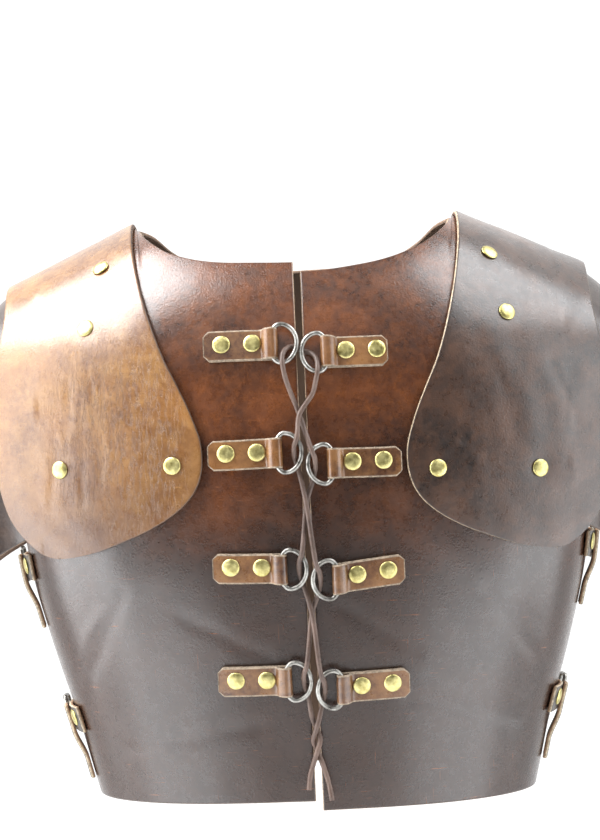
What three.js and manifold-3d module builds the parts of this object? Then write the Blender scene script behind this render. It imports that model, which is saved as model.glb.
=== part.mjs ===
// A segmented leather cuirass: two fronts laced through steel rings, a back, leaf-shaped shoulder
// plates that reach over to the back, and two lames on each upper arm. Millimetres, +Z up, the
// wearer faces -Y, and the origin lies midway between the shoulders that carry it.
import * as THREE from 'three';
import { mergeVertices } from 'three/addons/utils/BufferGeometryUtils.js';
import Module from 'manifold-3d';

const wasm = await Module();
wasm.setup();

// ---- driving dimensions ----
const LEATHER = 3.5; // wall of the body panels and the shoulder plates
const LAME_LEATHER = 3;
const SEAM_GAP = 0.3;
const CHEST_Z = -120; // fullest height; above it each upright section is a quarter ellipse
const RIDGE_Y = 6; // the line over the shoulders where front and back meet
const SHOULDER_TIP_X = 113.5; // where the neckline reaches the shoulder ridge
const SHOULDER_TIP_Z = 2;
const SHOULDER_SLOPE = 0.4516; // fall of the shoulder ridge outwards
const NECK_RISE = 18; // how far the ridge line would go on rising towards the neck
const FRONT_GAP_HALF = 2.3;
const FRONT_SLIDE = 6.5; // the wearer's left front hangs this much lower than the right one
const SLIDE_FREE = 20; // distance from the shoulder tip where the slide starts
const SLIDE_SPAN = 90;
const SLIDE_FADE = 0.4; // share of the quarter ellipse over which it fades at the ridge
const SECTION_POWER = 2.4; // roundness of the level sections
const PLATE_LIFT = 0.8; // clearance between a panel and the plate on it
const PLATE_LEAVES_X = 120; // outside this the plate runs on straight, off the panel
const PLATE_DROOP = 0.0012; // its slight fall towards the arm, per mm squared

// Level sections of the body, outside the leather.
const BODY_SECTIONS = [
  { z: -400, half: 156, front: 98, back: 86 },
  { z: -345, half: 170, front: 106, back: 94 },
  { z: -290, half: 186, front: 115, back: 103 },
  { z: -236, half: 199, front: 122, back: 111 },
  { z: -180, half: 204, front: 125, back: 117 },
  { z: -120, half: 202, front: 123, back: 119 },
];
const HEM_Z = BODY_SECTIONS[0].z;

// Side seam and armhole below the chest: angle round the section, from the front's middle.
const ARMHOLE_ANGLES = [
  { z: -400, angle: 88.4 },
  { z: -222, angle: 88.4 },
  { z: -213, angle: 80 },
  { z: -200, angle: 71 },
  { z: -180, angle: 63.5 },
  { z: -150, angle: 58 },
  { z: -120, angle: 56.3 },
];
// The armhole above the chest: share of the quarter ellipse, and distance from the middle.
const ARMHOLE_EDGE = [
  { level: 0, x: 168 },
  { level: 0.5, x: 166 },
  { level: 1, x: 176 },
];
const FRONT_NECKLINE = [
  { x: 0, z: -33 },
  { x: 38, z: -31.5 },
  { x: 58, z: -30 },
  { x: 73, z: -27 },
  { x: 90, z: -20.5 },
  { x: 106, z: -8 },
  { x: 113.5, z: 2 },
];
const BACK_NECKLINE = [
  { x: 0, z: -27 },
  { x: 50, z: -25 },
  { x: 75, z: -20 },
  { x: 92, z: -11 },
  { x: 104, z: -1 },
  { x: 113.5, z: 2 },
];
const PANEL_BODY_SHARE = 0.6; // share of a panel's rows that lie below the chest
const PANEL_ROW_HEIGHTS = [-400, -372, -344, -316, -288, -260, -236, -222, -212, -200, -180, -150, -120];
const PANEL_ARCH_ROWS = 6;
const FRONT_COLUMNS = { inward: 8, outward: 6 }; // inward and outward of the shoulder tip
const BACK_COLUMNS = { inward: 6, outward: 6 };
const PAST_TIP = 1e-4; // share that sets a column just outside the neckline's end
const WEARER_MIDDLE = new THREE.Vector3(0, 0, -230);

// Outline of half a shoulder plate, from its lower tip to the ridge. The way up is in mm from the
// chest height, and above the chest it runs along the quarter ellipse.
const ARCH_LENGTH = 160;
const PLATE_OUTLINE = [
  { row: 0, way: -108.5, inner: 168, outer: 168 },
  { row: 1, way: -107.2, inner: 156, outer: 175.5 },
  { row: 2, way: -104, inner: 141, outer: 182 },
  { row: 3, way: -98.5, inner: 125, outer: 189 },
  { row: 4, way: -90, inner: 104.5, outer: 197 },
  { row: 5, way: -79.5, inner: 86.8, outer: 203.5 },
  { row: 6, way: -67, inner: 74.4, outer: 208 },
  { row: 7, way: -52, inner: 68.5, outer: 211.5 },
  { row: 8, way: -35, inner: 68.3, outer: 213.5 },
  { row: 9, way: -17, inner: 73.5, outer: 213.5 },
  { row: 10, way: 0, inner: 80.5, outer: 212 },
  { row: 11, way: 19, inner: 91.5, outer: 210 },
  { row: 12, way: 42, inner: 100.8, outer: 207.5 },
  { row: 13, way: 67, inner: 107.5, outer: 205 },
  { row: 14, way: 96, inner: 112, outer: 204.5 },
  { row: 15, way: 128, inner: 114, outer: 205.5 },
  { row: 16, way: 160, inner: 114.3, outer: 206.5 },
];
const PLATE_ROWS = PLATE_OUTLINE.length - 1; // those of a half
const PLATE_ARCH_ROW = 10;
const PLATE_COLUMNS = 7;

// Rails of the arm lames: each goes up a leg from its end to its base and over the arm.
const LAME_1_RAILS = [
  { u: 0, topX: 188, topZ: -32.6, baseX: 190, depth: 73.2, baseZ: -120, endX: 184, endZ: -211 },
  { u: 0.38, topX: 206, topZ: -41.6, baseX: 211, depth: 61.5, baseZ: -122, endX: 201, endZ: -219 },
  { u: 1, topX: 234, topZ: -66, baseX: 229, depth: 56, baseZ: -142, endX: 223, endZ: -231 },
];
const LAME_2_OUTER = { topX: 252, topZ: -106, baseX: 244, depth: 50, baseZ: -172, endX: 241, endZ: -244 };
const LAME_2_FROM = 0.66; // where on the first lame the second one starts
const LAME_2_EDGE = 0.38; // where on the second one the first one's edge lies
const LAME_GAP = 0.8;
const LAME_LEG = 0.3; // share of a rail's half that is its straight leg
const LAME_COLUMNS = [0, LAME_2_EDGE, 0.69, 1];
const LAME_ROWS = 18;

const PLATE_RIVETS = [
  { name: 'shoulder', right: { x: 134, z: -33 }, left: { x: 132.5, z: -33 } },
  { name: 'chest', right: { x: 144, z: -74 }, left: { x: 140.5, z: -70.5 } },
  { name: 'inner', right: { x: 88, z: -168 }, left: { x: 88, z: -170.5 } },
  { name: 'outer', right: { x: 165, z: -168 }, left: { x: 158, z: -174 } },
];
const RIVET_RADIUS = 6;
const RIVET_DOME = 1.9;
const RIVET_RIM = 0.5; // height of its straight side
const RIVET_SHOULDER = { radius: 0.72, height: 0.85 }; // shares, where the dome flattens
const RIVET_SIDES = 10;
const RIVET_SINK = 0.6; // how far a cap goes into the strap that it is one solid with

// Each row's height on a front, its strap's tilt in degrees, and how far it is set in.
const RING_ROWS = [
  { right: { z: -90.5, tilt: 0, inset: 0, short: 0 }, left: { z: -91, tilt: 0, inset: 1.2, short: 4.8 } },
  { right: { z: -162.5, tilt: 0, inset: 0, short: 0 }, left: { z: -164.5, tilt: 0, inset: 0, short: 0 } },
  { right: { z: -239.5, tilt: 2.5, inset: 0, short: 0 }, left: { z: -241, tilt: 5.5, inset: 0, short: 1 } },
  { right: { z: -315, tilt: 1, inset: 0, short: 0 }, left: { z: -315, tilt: 2, inset: 0, short: 0.5 } },
];
const RING_X = 13;
const RING_HALF_WIDTH = 11;
const RING_HALF_HEIGHT = 13.1;
const RING_WIRE = 1.6;
const RING_RISE = 5.5; // height of the ring's middle over the panel
const RING_RISE_INWARD = 0.06; // slope by which it rises towards the lacing
const RING_SIDES = 6;
const RING_STEPS = 16;

const TAB_FOLD_X = 14.6;
const TAB_END_X = 64.5;
const TAB_BEND_X = 43; // an extra line across it, where it bends with the panel
const TAB_HALF_WIDTH = 10;
const TAB_CHAMFER = 4;
const TAB_LEATHER = 2;
const TAB_SEAT = 0.35;
const TAB_EYE = 5.4; // clear height of the fold that the ring turns in
const TAB_EYE_LENGTH = 12.4;
const TAB_FOLD_WALL = 1.4; // leather left where it folds
const TAB_FOLD_ROUND = 0.55; // share of the fold's radius that its rounding takes
const TAB_RIVET_X = [31.5, 52];
const TAB_RIVET_RAISE = 1;

const LACE_RADIUS = 1.7;
const LACE_SIDES = 8;
const LACE_STEPS = 82;
const LACE_MEASURES = 2000; // samples by which its length is shared out
const LACE_OVER = 10.5; // height over the panel where it lies on a ring
const LACE_UNDER = 2.35; // and where it lies under one
const LACE_CROSS_OVER = 6.6;

// How the lace goes over a ring, down through it and away under it: distance from the middle,
// height above the ring's middle, and height over the panel.
const LACE_PASS = [
  { x: 4.5, up: 10.5, height: LACE_OVER },
  { x: 6.6, up: 4.5, height: 8.4 },
  { x: 6.9, up: -1, height: 5.4 },
  { x: 6.2, up: -5.5, height: 3 },
  { x: 4.6, up: -11, height: LACE_UNDER },
];

const STRAP_ROWS = [
  { name: 'upper', z: -236 },
  { name: 'lower', z: -344 },
];
const STRAP_HALF_WIDTH = 9;
const STRAP_LEATHER = 3;
const STRAP_SEAT = 0.9;
const STRAP_FRONT = 42; // how far it reaches from the side onto the front
const STRAP_BACK = 62;
const STRAP_RIVET_SHARE = 0.09;
const STRAP_END_LENGTH = 52;
const STRAP_END_HALF_WIDTH = 8.6;
const STRAP_END_Y = -17;
const STRAP_END_LIFT = 0.4; // its clearance all the way down
const STRAP_END_FALL = { below: 2, over: 20 }; // where, below the strap, it comes back to the panel
const SIDE_SLIDE = { until: 20, over: 40 }; // where, round the side, the front's slide dies away
const BUCKLE_HALF_LENGTH = 9;
const BUCKLE_HALF_WIDTH = 13;
const BUCKLE_WIRE = 1.6;
const BUCKLE_Y = 3;
const BUCKLE_CORNER = 2;
const BUCKLE_SEAT = 0.6;

// ---- looks of the materials ----
const leather = { color: 0x5a2d1c, roughness: 0.45, metalness: 0 };
const darkLeather = { color: 0x3c2722, roughness: 0.4, metalness: 0 };
const tabLeather = { color: 0x7a4a2a, roughness: 0.5, metalness: 0 };
const laceLeather = { color: 0x7d5b52, roughness: 0.7, metalness: 0 };
const brass = { color: 0xb3a25a, roughness: 0.35, metalness: 1 };
const steel = { color: 0x8d8f8c, roughness: 0.35, metalness: 1 };

// ---- small helpers ----
const clamp = THREE.MathUtils.clamp;
const smooth = (t) => THREE.MathUtils.smoothstep(t, 0, 1);
const radians = THREE.MathUtils.degToRad;

/** A table's row at any place between its rows, on a smooth curve through them. */
function rowAt(table, key, at) {
  const last = table.length - 1;
  const place = clamp(at, table[0][key], table[last][key]);
  let i = 0;
  while (i < last - 1 && place > table[i + 1][key]) i += 1;
  const [before, a, b, after] = [i - 1, i, i + 1, i + 2].map((k) => table[clamp(k, 0, last)]);
  const span = b[key] - a[key];
  const t = (place - a[key]) / span;
  const row = {};
  for (const name of Object.keys(a)) {
    const slopeA = (span * (b[name] - before[name])) / (b[key] - before[key]);
    const slopeB = (span * (after[name] - a[name])) / (after[key] - a[key]);
    const rise = b[name] - a[name];
    const bend = slopeA + slopeB - 2 * rise;
    row[name] = a[name] + t * (slopeA + t * (rise - slopeA - bend + t * bend));
  }
  return row;
}

/** A closed geometry from points and triangles: shared points merged, faces out. */
function closedGeometry(positions, triangles) {
  const raw = new THREE.BufferGeometry();
  raw.setAttribute('position', new THREE.Float32BufferAttribute(positions, 3));
  raw.setIndex(triangles);
  const merged = mergeVertices(raw, 1e-3);
  const index = merged.index.array;
  const p = merged.attributes.position;
  const kept = [];
  let volume = 0;
  const [a, b, c] = [new THREE.Vector3(), new THREE.Vector3(), new THREE.Vector3()];
  for (let i = 0; i < index.length; i += 3) {
    const [i0, i1, i2] = [index[i], index[i + 1], index[i + 2]];
    if (i0 === i1 || i1 === i2 || i2 === i0) continue;
    kept.push(i0, i1, i2);
    a.fromBufferAttribute(p, i0);
    b.fromBufferAttribute(p, i1);
    c.fromBufferAttribute(p, i2);
    volume += a.dot(b.cross(c));
  }
  if (volume < 0) kept.reverse();
  merged.setIndex(kept);
  return merged;
}

/** A geometry with only its points, each stored once. */
function welding(geometry) {
  geometry.deleteAttribute('normal');
  geometry.deleteAttribute('uv');
  return mergeVertices(geometry, 1e-3);
}

/** The same faces as a closed geometry. */
function closed(geometry) {
  return closedGeometry(Array.from(geometry.attributes.position.array), Array.from(geometry.index.array));
}

const shares = (count) => Array.from({ length: count + 1 }, (_, i) => i / count);

/** The normal of a surface of two shares, pointing away from the wearer. */
function normalAt(surface, u, v) {
  const step = 1e-3;
  const edge = 6e-3; // the ends take the normal from just inside them
  const vv = clamp(v, edge, 1 - edge);
  const along = (du, dv) => {
    const ahead = surface(clamp(u + du, 0, 1), vv + dv);
    return ahead.sub(surface(clamp(u - du, 0, 1), vv - dv));
  };
  return along(step, 0).cross(along(0, step)).normalize();
}

/** A wall between two offsets from a surface, sampled at the given shares. */
function wall({ surface, normal }, us, vs, from, to) {
  const positions = [];
  const columns = us.length;
  const layer = columns * vs.length;
  for (const offset of [from, to]) {
    for (const v of vs) {
      for (const u of us) {
        const point = surface(u, v).addScaledVector(normal(u, v), offset);
        positions.push(...point.toArray());
      }
    }
  }
  const triangles = [];
  const quad = (a, b, c, d) => triangles.push(a, b, c, a, c, d);
  const at = (i, j, k) => k * layer + j * columns + i;
  for (let j = 0; j < vs.length - 1; j += 1) {
    for (let i = 0; i < columns - 1; i += 1) {
      quad(at(i, j, 1), at(i + 1, j, 1), at(i + 1, j + 1, 1), at(i, j + 1, 1));
      quad(at(i, j, 0), at(i, j + 1, 0), at(i + 1, j + 1, 0), at(i + 1, j, 0));
    }
  }
  const last = { i: columns - 1, j: vs.length - 1 };
  for (let i = 0; i < last.i; i += 1) {
    quad(at(i, 0, 0), at(i + 1, 0, 0), at(i + 1, 0, 1), at(i, 0, 1));
    quad(at(i, last.j, 1), at(i + 1, last.j, 1), at(i + 1, last.j, 0), at(i, last.j, 0));
  }
  for (let j = 0; j < last.j; j += 1) {
    quad(at(0, j, 1), at(0, j + 1, 1), at(0, j + 1, 0), at(0, j, 0));
    quad(at(last.i, j, 0), at(last.i, j + 1, 0), at(last.i, j + 1, 1), at(last.i, j, 1));
  }
  return closedGeometry(positions, triangles);
}

/** Joins closed geometries into one. */
function joined(geometries) {
  const solids = geometries.map((geometry) => {
    const merged = welding(geometry.clone());
    const vertProperties = Float32Array.from(merged.attributes.position.array);
    const triVerts = Uint32Array.from(merged.index.array);
    return new wasm.Manifold(new wasm.Mesh({ numProp: 3, vertProperties, triVerts }));
  });
  const mesh = solids.reduce((sum, solid) => sum.add(solid)).getMesh();
  return closedGeometry(Array.from(mesh.vertProperties), Array.from(mesh.triVerts));
}

// ---- the form that every panel follows ----
const share = (x, half) => (1 - Math.min(1, Math.abs(x) / half) ** SECTION_POWER) ** (1 / SECTION_POWER);

function bodyDepth(x, z, face) {
  const section = rowAt(BODY_SECTIONS, 'z', z);
  return section[face] * share(x, section.half);
}

/** Depth of a shoulder plate: the panel's, until it runs on straight towards the arm. */
function plateDepth(x, z, face) {
  const past = x - PLATE_LEAVES_X;
  if (past <= 0) return bodyDepth(x, z, face);
  const edge = bodyDepth(PLATE_LEAVES_X, z, face);
  const slope = edge - bodyDepth(PLATE_LEAVES_X + 1, z, face);
  return edge - slope * past - PLATE_DROOP * past * past;
}

/** Height of the line over the shoulder, x mm from the middle. */
function ridgeZ(x) {
  const inward = SHOULDER_TIP_X - x;
  if (inward < 0) return SHOULDER_TIP_Z + SHOULDER_SLOPE * inward;
  return SHOULDER_TIP_Z + NECK_RISE * (1 - Math.exp((-SHOULDER_SLOPE * inward) / NECK_RISE));
}

const levelAt = (x, z) => (z <= CHEST_Z
  ? z - CHEST_Z
  : Math.asin(clamp((z - CHEST_Z) / (ridgeZ(x) - CHEST_Z), 0, 1)) / (Math.PI / 2));

/** How far the wearer's left front has slid down at a place. */
function slide(side, x, z, level, face) {
  if (side < 0 || face === 'back') return 0;
  const away = Math.hypot(x - SHOULDER_TIP_X, z - SHOULDER_TIP_Z);
  return FRONT_SLIDE * smooth((away - SLIDE_FREE) / SLIDE_SPAN) * smooth((1 - level) / SLIDE_FADE);
}

/** A point of the body's form, x mm from the middle on one side, at a level. */
function formPoint(side, x, level, face, depthAt, lift) {
  const toward = face === 'front' ? -1 : 1;
  const z0 = CHEST_Z + Math.min(level, 0);
  const depth = depthAt(x, z0, face) + lift;
  const angle = Math.max(level, 0) * (Math.PI / 2);
  const y = RIDGE_Y + (toward * depth - RIDGE_Y) * (level > 0 ? Math.cos(angle) : 1);
  const z = z0 + (level > 0 ? (ridgeZ(x) + lift - CHEST_Z) * Math.sin(angle) : 0);
  return new THREE.Vector3(side * x, y, z - slide(side, x, z, level, face));
}

const bodyPoint = (side, x, level, face) => formPoint(side, x, level, face, bodyDepth, 0);

/** The form's normal at a place, pointing away from the wearer. */
function formNormal(side, x, level, face, depthAt) {
  const step = level < 0 ? 1 : 0.01;
  const aside = 0.4;
  const [low, high] = [level - step, level < 0 ? level + step : Math.min(1, level + step)];
  const at = (x1, level1) => formPoint(side, x1, level1, face, depthAt, 0);
  const across = at(x + aside, level).sub(at(Math.max(0, x - aside), level)).multiplyScalar(side);
  const up = at(x, high).sub(at(x, low));
  return across.cross(up).normalize().multiplyScalar(face === 'front' ? 1 : -1);
}

/** The outside of a panel by shares: u from its middle edge outwards, v from hem to top. */
function panelSurface(side, face, innerX, neckline) {
  const chest = rowAt(BODY_SECTIONS, 'z', CHEST_Z);
  const angleOut = (z) => radians(rowAt(ARMHOLE_ANGLES, 'z', z).angle);
  const edgeX = (level) => rowAt(ARMHOLE_EDGE, 'level', level).x;
  const sectionX = (u, z) => {
    const half = rowAt(BODY_SECTIONS, 'z', z).half;
    const inner = Math.asin(innerX / half);
    return half * Math.sin(inner + u * (angleOut(z) - inner));
  };
  const archX = (u, level) => {
    const across = (sectionX(u, CHEST_Z) - innerX) / (edgeX(0) - innerX);
    return innerX + across * (edgeX(level) - innerX);
  };
  const topLevel = (u) => {
    let level = 1;
    for (let round = 0; round < 6; round += 1) {
      const x = archX(u, level);
      if (x >= SHOULDER_TIP_X) return 1;
      level = levelAt(x, rowAt(neckline, 'x', x).z);
    }
    return level;
  };
  const seam = SEAM_GAP / 2 / (chest[face] * (Math.PI / 2));
  const placeAt = (u, v) => {
    if (v <= PANEL_BODY_SHARE) {
      const z = THREE.MathUtils.lerp(HEM_Z, CHEST_Z, v / PANEL_BODY_SHARE);
      return { x: sectionX(u, z), level: z - CHEST_Z };
    }
    const level = (topLevel(u) - seam) * ((v - PANEL_BODY_SHARE) / (1 - PANEL_BODY_SHARE));
    return { x: archX(u, level), level };
  };
  const surface = (u, v) => bodyPoint(side, placeAt(u, v).x, placeAt(u, v).level, face);
  const normal = (u, v) => formNormal(side, placeAt(u, v).x, placeAt(u, v).level, face, bodyDepth);
  return { surface, normal };
}

/** The share of a panel's width at which its shoulder tip lies. */
function tipShare(innerX) {
  const across = (SHOULDER_TIP_X - innerX) / (ARMHOLE_EDGE.at(-1).x - innerX);
  const x = innerX + across * (ARMHOLE_EDGE[0].x - innerX);
  const half = rowAt(BODY_SECTIONS, 'z', CHEST_Z).half;
  const inner = Math.asin(innerX / half);
  const outer = radians(rowAt(ARMHOLE_ANGLES, 'z', CHEST_Z).angle);
  return (Math.asin(x / half) - inner) / (outer - inner);
}

/** Column shares with one column exactly at the shoulder tip. */
function columnsWithTip(innerX, { inward, outward }) {
  const tip = tipShare(innerX) + PAST_TIP;
  const inside = shares(inward).map((s) => s * tip);
  const outside = shares(outward).slice(1).map((s) => tip + s * (1 - tip));
  return [...inside, ...outside];
}

/** Row shares, closer together near the armpit and at the shoulder. */
function panelRows() {
  const body = PANEL_ROW_HEIGHTS.map((z) => (PANEL_BODY_SHARE * (z - HEM_Z)) / (CHEST_Z - HEM_Z));
  const upper = shares(PANEL_ARCH_ROWS).slice(1).map((s) => PANEL_BODY_SHARE + s * (1 - PANEL_BODY_SHARE));
  return [...body, ...upper];
}

function frontPanel(side) {
  const panel = panelSurface(side, 'front', FRONT_GAP_HALF, FRONT_NECKLINE);
  return wall(panel, columnsWithTip(FRONT_GAP_HALF, FRONT_COLUMNS), panelRows(), -LEATHER, 0);
}

function backPanel() {
  const [right, left] = [-1, 1].map((side) => panelSurface(side, 'back', 0, BACK_NECKLINE));
  const halfAt = (u) => (u < 0.5 ? [right, 1 - 2 * u] : [left, 2 * u - 1]);
  const panel = {
    surface: (u, v) => halfAt(u)[0].surface(halfAt(u)[1], v),
    normal: (u, v) => halfAt(u)[0].normal(halfAt(u)[1], v),
  };
  const outward = columnsWithTip(0, BACK_COLUMNS);
  const rightShares = outward.slice(1).reverse().map((s) => (1 - s) / 2);
  const leftShares = outward.map((s) => (1 + s) / 2);
  return wall(panel, [...rightShares, ...leftShares], panelRows(), -LEATHER, 0);
}

/** A surface with its normals, turned away from a point inside the wearer. */
function withNormals(surface) {
  const normal = (u, v) => {
    const here = normalAt(surface, u, v);
    return here.dot(surface(u, v).sub(WEARER_MIDDLE)) < 0 ? here.negate() : here;
  };
  return { surface, normal };
}

/** The inside of a shoulder plate: u across it, v from its front tip over to its back tip. */
function plateSurface(side) {
  const placeAt = (u, v) => {
    const row = rowAt(PLATE_OUTLINE, 'row', 2 * PLATE_ROWS * Math.min(v, 1 - v));
    const face = v < 0.5 ? 'front' : 'back';
    const level = row.way > 0 ? Math.min(1, row.way / ARCH_LENGTH) : row.way;
    return [side, THREE.MathUtils.lerp(row.inner, row.outer, u), level, face, plateDepth];
  };
  const surface = (u, v) => formPoint(...placeAt(u, v), PLATE_LIFT);
  const normal = (u, v) => formNormal(...placeAt(u, v));
  return { surface, normal };
}

/** Row shares of a plate: one for each row of its outline, and one between those of the arch. */
function plateRows() {
  const half = [];
  for (let row = 0; row <= PLATE_ROWS; row += row < PLATE_ARCH_ROW ? 1 : 0.5) half.push(row);
  const front = half.map((row) => row / (2 * PLATE_ROWS));
  return [...front, ...front.slice(0, -1).reverse().map((along) => 1 - along)];
}

function shoulderPlate(side) {
  return wall(plateSurface(side), shares(PLATE_COLUMNS), plateRows(), 0, LEATHER);
}

/** A rail over the arm: v from the front end over the top to the back end. */
function railPoint(side, rail, v) {
  const face = v < 0.5 ? 'front' : 'back';
  const along = 2 * Math.min(v, 1 - v);
  const y0 = face === 'front' ? -rail.depth : rail.depth;
  if (along < LAME_LEG) {
    const t = along / LAME_LEG;
    const x = THREE.MathUtils.lerp(rail.endX, rail.baseX, smooth(0.5 + t / 2) * 2 - 1);
    const z = THREE.MathUtils.lerp(rail.endZ, rail.baseZ, t);
    return new THREE.Vector3(side * x, y0, z - slide(side, x, z, 0, face));
  }
  const level = (along - LAME_LEG) / (1 - LAME_LEG);
  const angle = level * (Math.PI / 2);
  const x = rail.baseX + (rail.topX - rail.baseX) * Math.sin(angle);
  const y = RIDGE_Y + (y0 - RIDGE_Y) * Math.cos(angle);
  const z = rail.baseZ + (rail.topZ - rail.baseZ) * Math.sin(angle);
  return new THREE.Vector3(side * x, y, z - slide(side, x, z, level, face));
}

const firstLame = (side) => (u, v) => railPoint(side, rowAt(LAME_1_RAILS, 'u', u), v);

function secondLame(side) {
  const first = withNormals(firstLame(side));
  const drop = -LAME_LEATHER - LAME_GAP;
  const inside = (u, v) => first.surface(u, v).addScaledVector(first.normal(u, v), drop);
  return (u, v) => {
    const stations = [
      { u: 0, point: inside(LAME_2_FROM, v) },
      { u: LAME_2_EDGE, point: inside(1, v) },
      { u: 1, point: railPoint(side, LAME_2_OUTER, v) },
    ].map(({ u: at, point }) => ({ u: at, x: point.x, y: point.y, z: point.z }));
    const { x, y, z } = rowAt(stations, 'u', u);
    return new THREE.Vector3(x, y, z);
  };
}

const LAME_SURFACES = [firstLame, secondLame];

function armLame(side, number) {
  const lame = withNormals(LAME_SURFACES[number - 1](side));
  return wall(lame, LAME_COLUMNS, shares(LAME_ROWS), -LAME_LEATHER, 0);
}

// ---- hardware, set on the panels' points ----
/** A place on a surface: its point, its outward normal and its upward direction. */
function seatOn(side, x, z, face, point) {
  const level = levelAt(x, z);
  const here = point(side, x, level, face);
  const step = 0.5;
  const across = point(side, x + step, level, face).sub(here).multiplyScalar(side);
  const up = point(side, x, levelAt(x, z + step), face).sub(here);
  const out = across.clone().cross(up).normalize();
  if (out.y * here.y < 0) out.negate();
  return { here, out, up: up.normalize() };
}

/** A dome rivet, its flat foot at the origin, facing +Z. */
function rivetGeometry(sink) {
  const profile = [
    new THREE.Vector2(0, -sink),
    new THREE.Vector2(RIVET_RADIUS, -sink),
    new THREE.Vector2(RIVET_RADIUS, RIVET_RIM),
    new THREE.Vector2(RIVET_RADIUS * RIVET_SHOULDER.radius, RIVET_DOME * RIVET_SHOULDER.height),
    new THREE.Vector2(0, RIVET_DOME),
  ];
  const lathe = new THREE.LatheGeometry(profile, RIVET_SIDES);
  return closed(lathe.rotateX(Math.PI / 2));
}

function facing(geometry, here, out) {
  const turn = new THREE.Quaternion().setFromUnitVectors(new THREE.Vector3(0, 0, 1), out);
  return geometry.applyQuaternion(turn).translate(here.x, here.y, here.z);
}

function plateRivet(side, spot, face) {
  const point = (s, x, level, f) => formPoint(s, x, level, f, plateDepth, PLATE_LIFT);
  const { here, out } = seatOn(side, spot.x, spot.z, face, point);
  const foot = here.addScaledVector(out, LEATHER + SEAM_GAP);
  return facing(rivetGeometry(0), foot, out);
}

/** Bends a flat piece, in distances from the middle, heights and drops, onto a front panel. */
function laidOnFront(geometry, side, row) {
  const p = geometry.attributes.position;
  const turn = radians(row.tilt);
  for (let i = 0; i < p.count; i += 1) {
    const [flatX, height, drop] = [p.getX(i), p.getY(i), p.getZ(i)];
    const x = flatX - row.inset;
    const z = row.z - drop * Math.cos(turn) + (flatX - TAB_FOLD_X) * Math.sin(turn);
    const { here, out } = seatOn(side, x, z, 'front', bodyPoint);
    p.setXYZ(i, ...here.addScaledVector(out, height).toArray());
  }
  return closed(geometry);
}

/** Draws a closed line through corners of a side view. */
function traced(path, corners) {
  path.setFromPoints(corners.map(([x, height]) => new THREE.Vector2(x, height)));
  path.closePath();
  return path;
}

/** Side view of the strap folded round a ring: distance from the middle, and height. */
function tabSideView(endX) {
  const bottom = TAB_SEAT;
  const stitched = TAB_SEAT + 2 * TAB_LEATHER;
  const eyeBottom = TAB_SEAT + TAB_LEATHER;
  const eyeTop = eyeBottom + TAB_EYE;
  const top = eyeTop + TAB_LEATHER;
  const radius = (top - bottom) / 2;
  const middle = bottom + radius;
  const round = TAB_FOLD_ROUND * radius;
  const foldX = TAB_FOLD_X + round;
  const eyeStart = TAB_FOLD_X + TAB_FOLD_WALL;
  const eyeEnd = TAB_FOLD_X + 2.3 + TAB_EYE_LENGTH;
  const outline = traced(new THREE.Shape(), [
    [endX, bottom],
    [endX - TAB_CHAMFER, bottom],
    [TAB_BEND_X, bottom],
    [foldX, bottom],
    [TAB_FOLD_X + 0.6, middle - round],
    [TAB_FOLD_X, middle],
    [TAB_FOLD_X + 0.6, middle + round],
    [foldX + 0.6, top],
    [eyeEnd - 4.6, top],
    [eyeEnd - 1, stitched + 1],
    [eyeEnd + 1, stitched],
    [TAB_BEND_X, stitched],
    [endX - TAB_CHAMFER, stitched],
    [endX, stitched],
  ]);
  const eye = traced(new THREE.Path(), [
    [eyeStart + 1.2, eyeBottom],
    [eyeEnd - 0.6, eyeBottom],
    [eyeEnd - 2.6, eyeBottom + 2.2],
    [eyeEnd - 4.8, eyeTop],
    [eyeStart + 1.2, eyeTop],
    [eyeStart, eyeTop - 1.6],
    [eyeStart, eyeBottom + 1.6],
  ]);
  outline.holes.push(eye);
  return outline;
}

/** The strap folded round a ring, with its end's corners cut and two rivets through it. */
function ringTab(side, row) {
  const endX = TAB_END_X - row.short;
  const flat = { depth: 2 * TAB_HALF_WIDTH, steps: 2, bevelEnabled: false };
  const strip = new THREE.ExtrudeGeometry(tabSideView(endX), flat);
  strip.translate(0, 0, -TAB_HALF_WIDTH);
  const welded = welding(strip);
  const p = welded.attributes.position;
  for (let i = 0; i < p.count; i += 1) {
    const cut = TAB_CHAMFER * smooth((p.getX(i) - (endX - 1)) * 10);
    p.setZ(i, p.getZ(i) * (1 - cut / TAB_HALF_WIDTH));
  }
  const strap = laidOnFront(welded, side, row);
  const rivets = TAB_RIVET_X.map((x) => {
    const z = row.z + TAB_RIVET_RAISE + (x - TAB_FOLD_X) * Math.sin(radians(row.tilt));
    const { here, out } = seatOn(side, x - row.inset, z, 'front', bodyPoint);
    const foot = here.addScaledVector(out, TAB_SEAT + 2 * TAB_LEATHER);
    return facing(rivetGeometry(RIVET_SINK), foot, out);
  });
  return joined([strap, ...rivets]);
}

/** An oval ring whose far side lies in the tab's fold. */
function lacingRing(side, row) {
  const ring = new THREE.TorusGeometry(RING_HALF_HEIGHT, RING_WIRE, RING_SIDES, RING_STEPS);
  const squeeze = (RING_HALF_WIDTH + RING_WIRE) / (RING_HALF_HEIGHT + RING_WIRE);
  ring.scale(squeeze, 1, 1);
  const { here, out, up } = seatOn(side, RING_X - row.inset, row.z, 'front', bodyPoint);
  const inward = new THREE.Vector3(-side, 0, 0);
  const e1 = inward.addScaledVector(out, RING_RISE_INWARD).normalize();
  const e3 = e1.clone().cross(up).normalize();
  const frame = new THREE.Matrix4().makeBasis(e1, e3.clone().cross(e1), e3);
  frame.setPosition(here.addScaledVector(out, RING_RISE));
  return closed(ring.applyMatrix4(frame));
}

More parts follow.
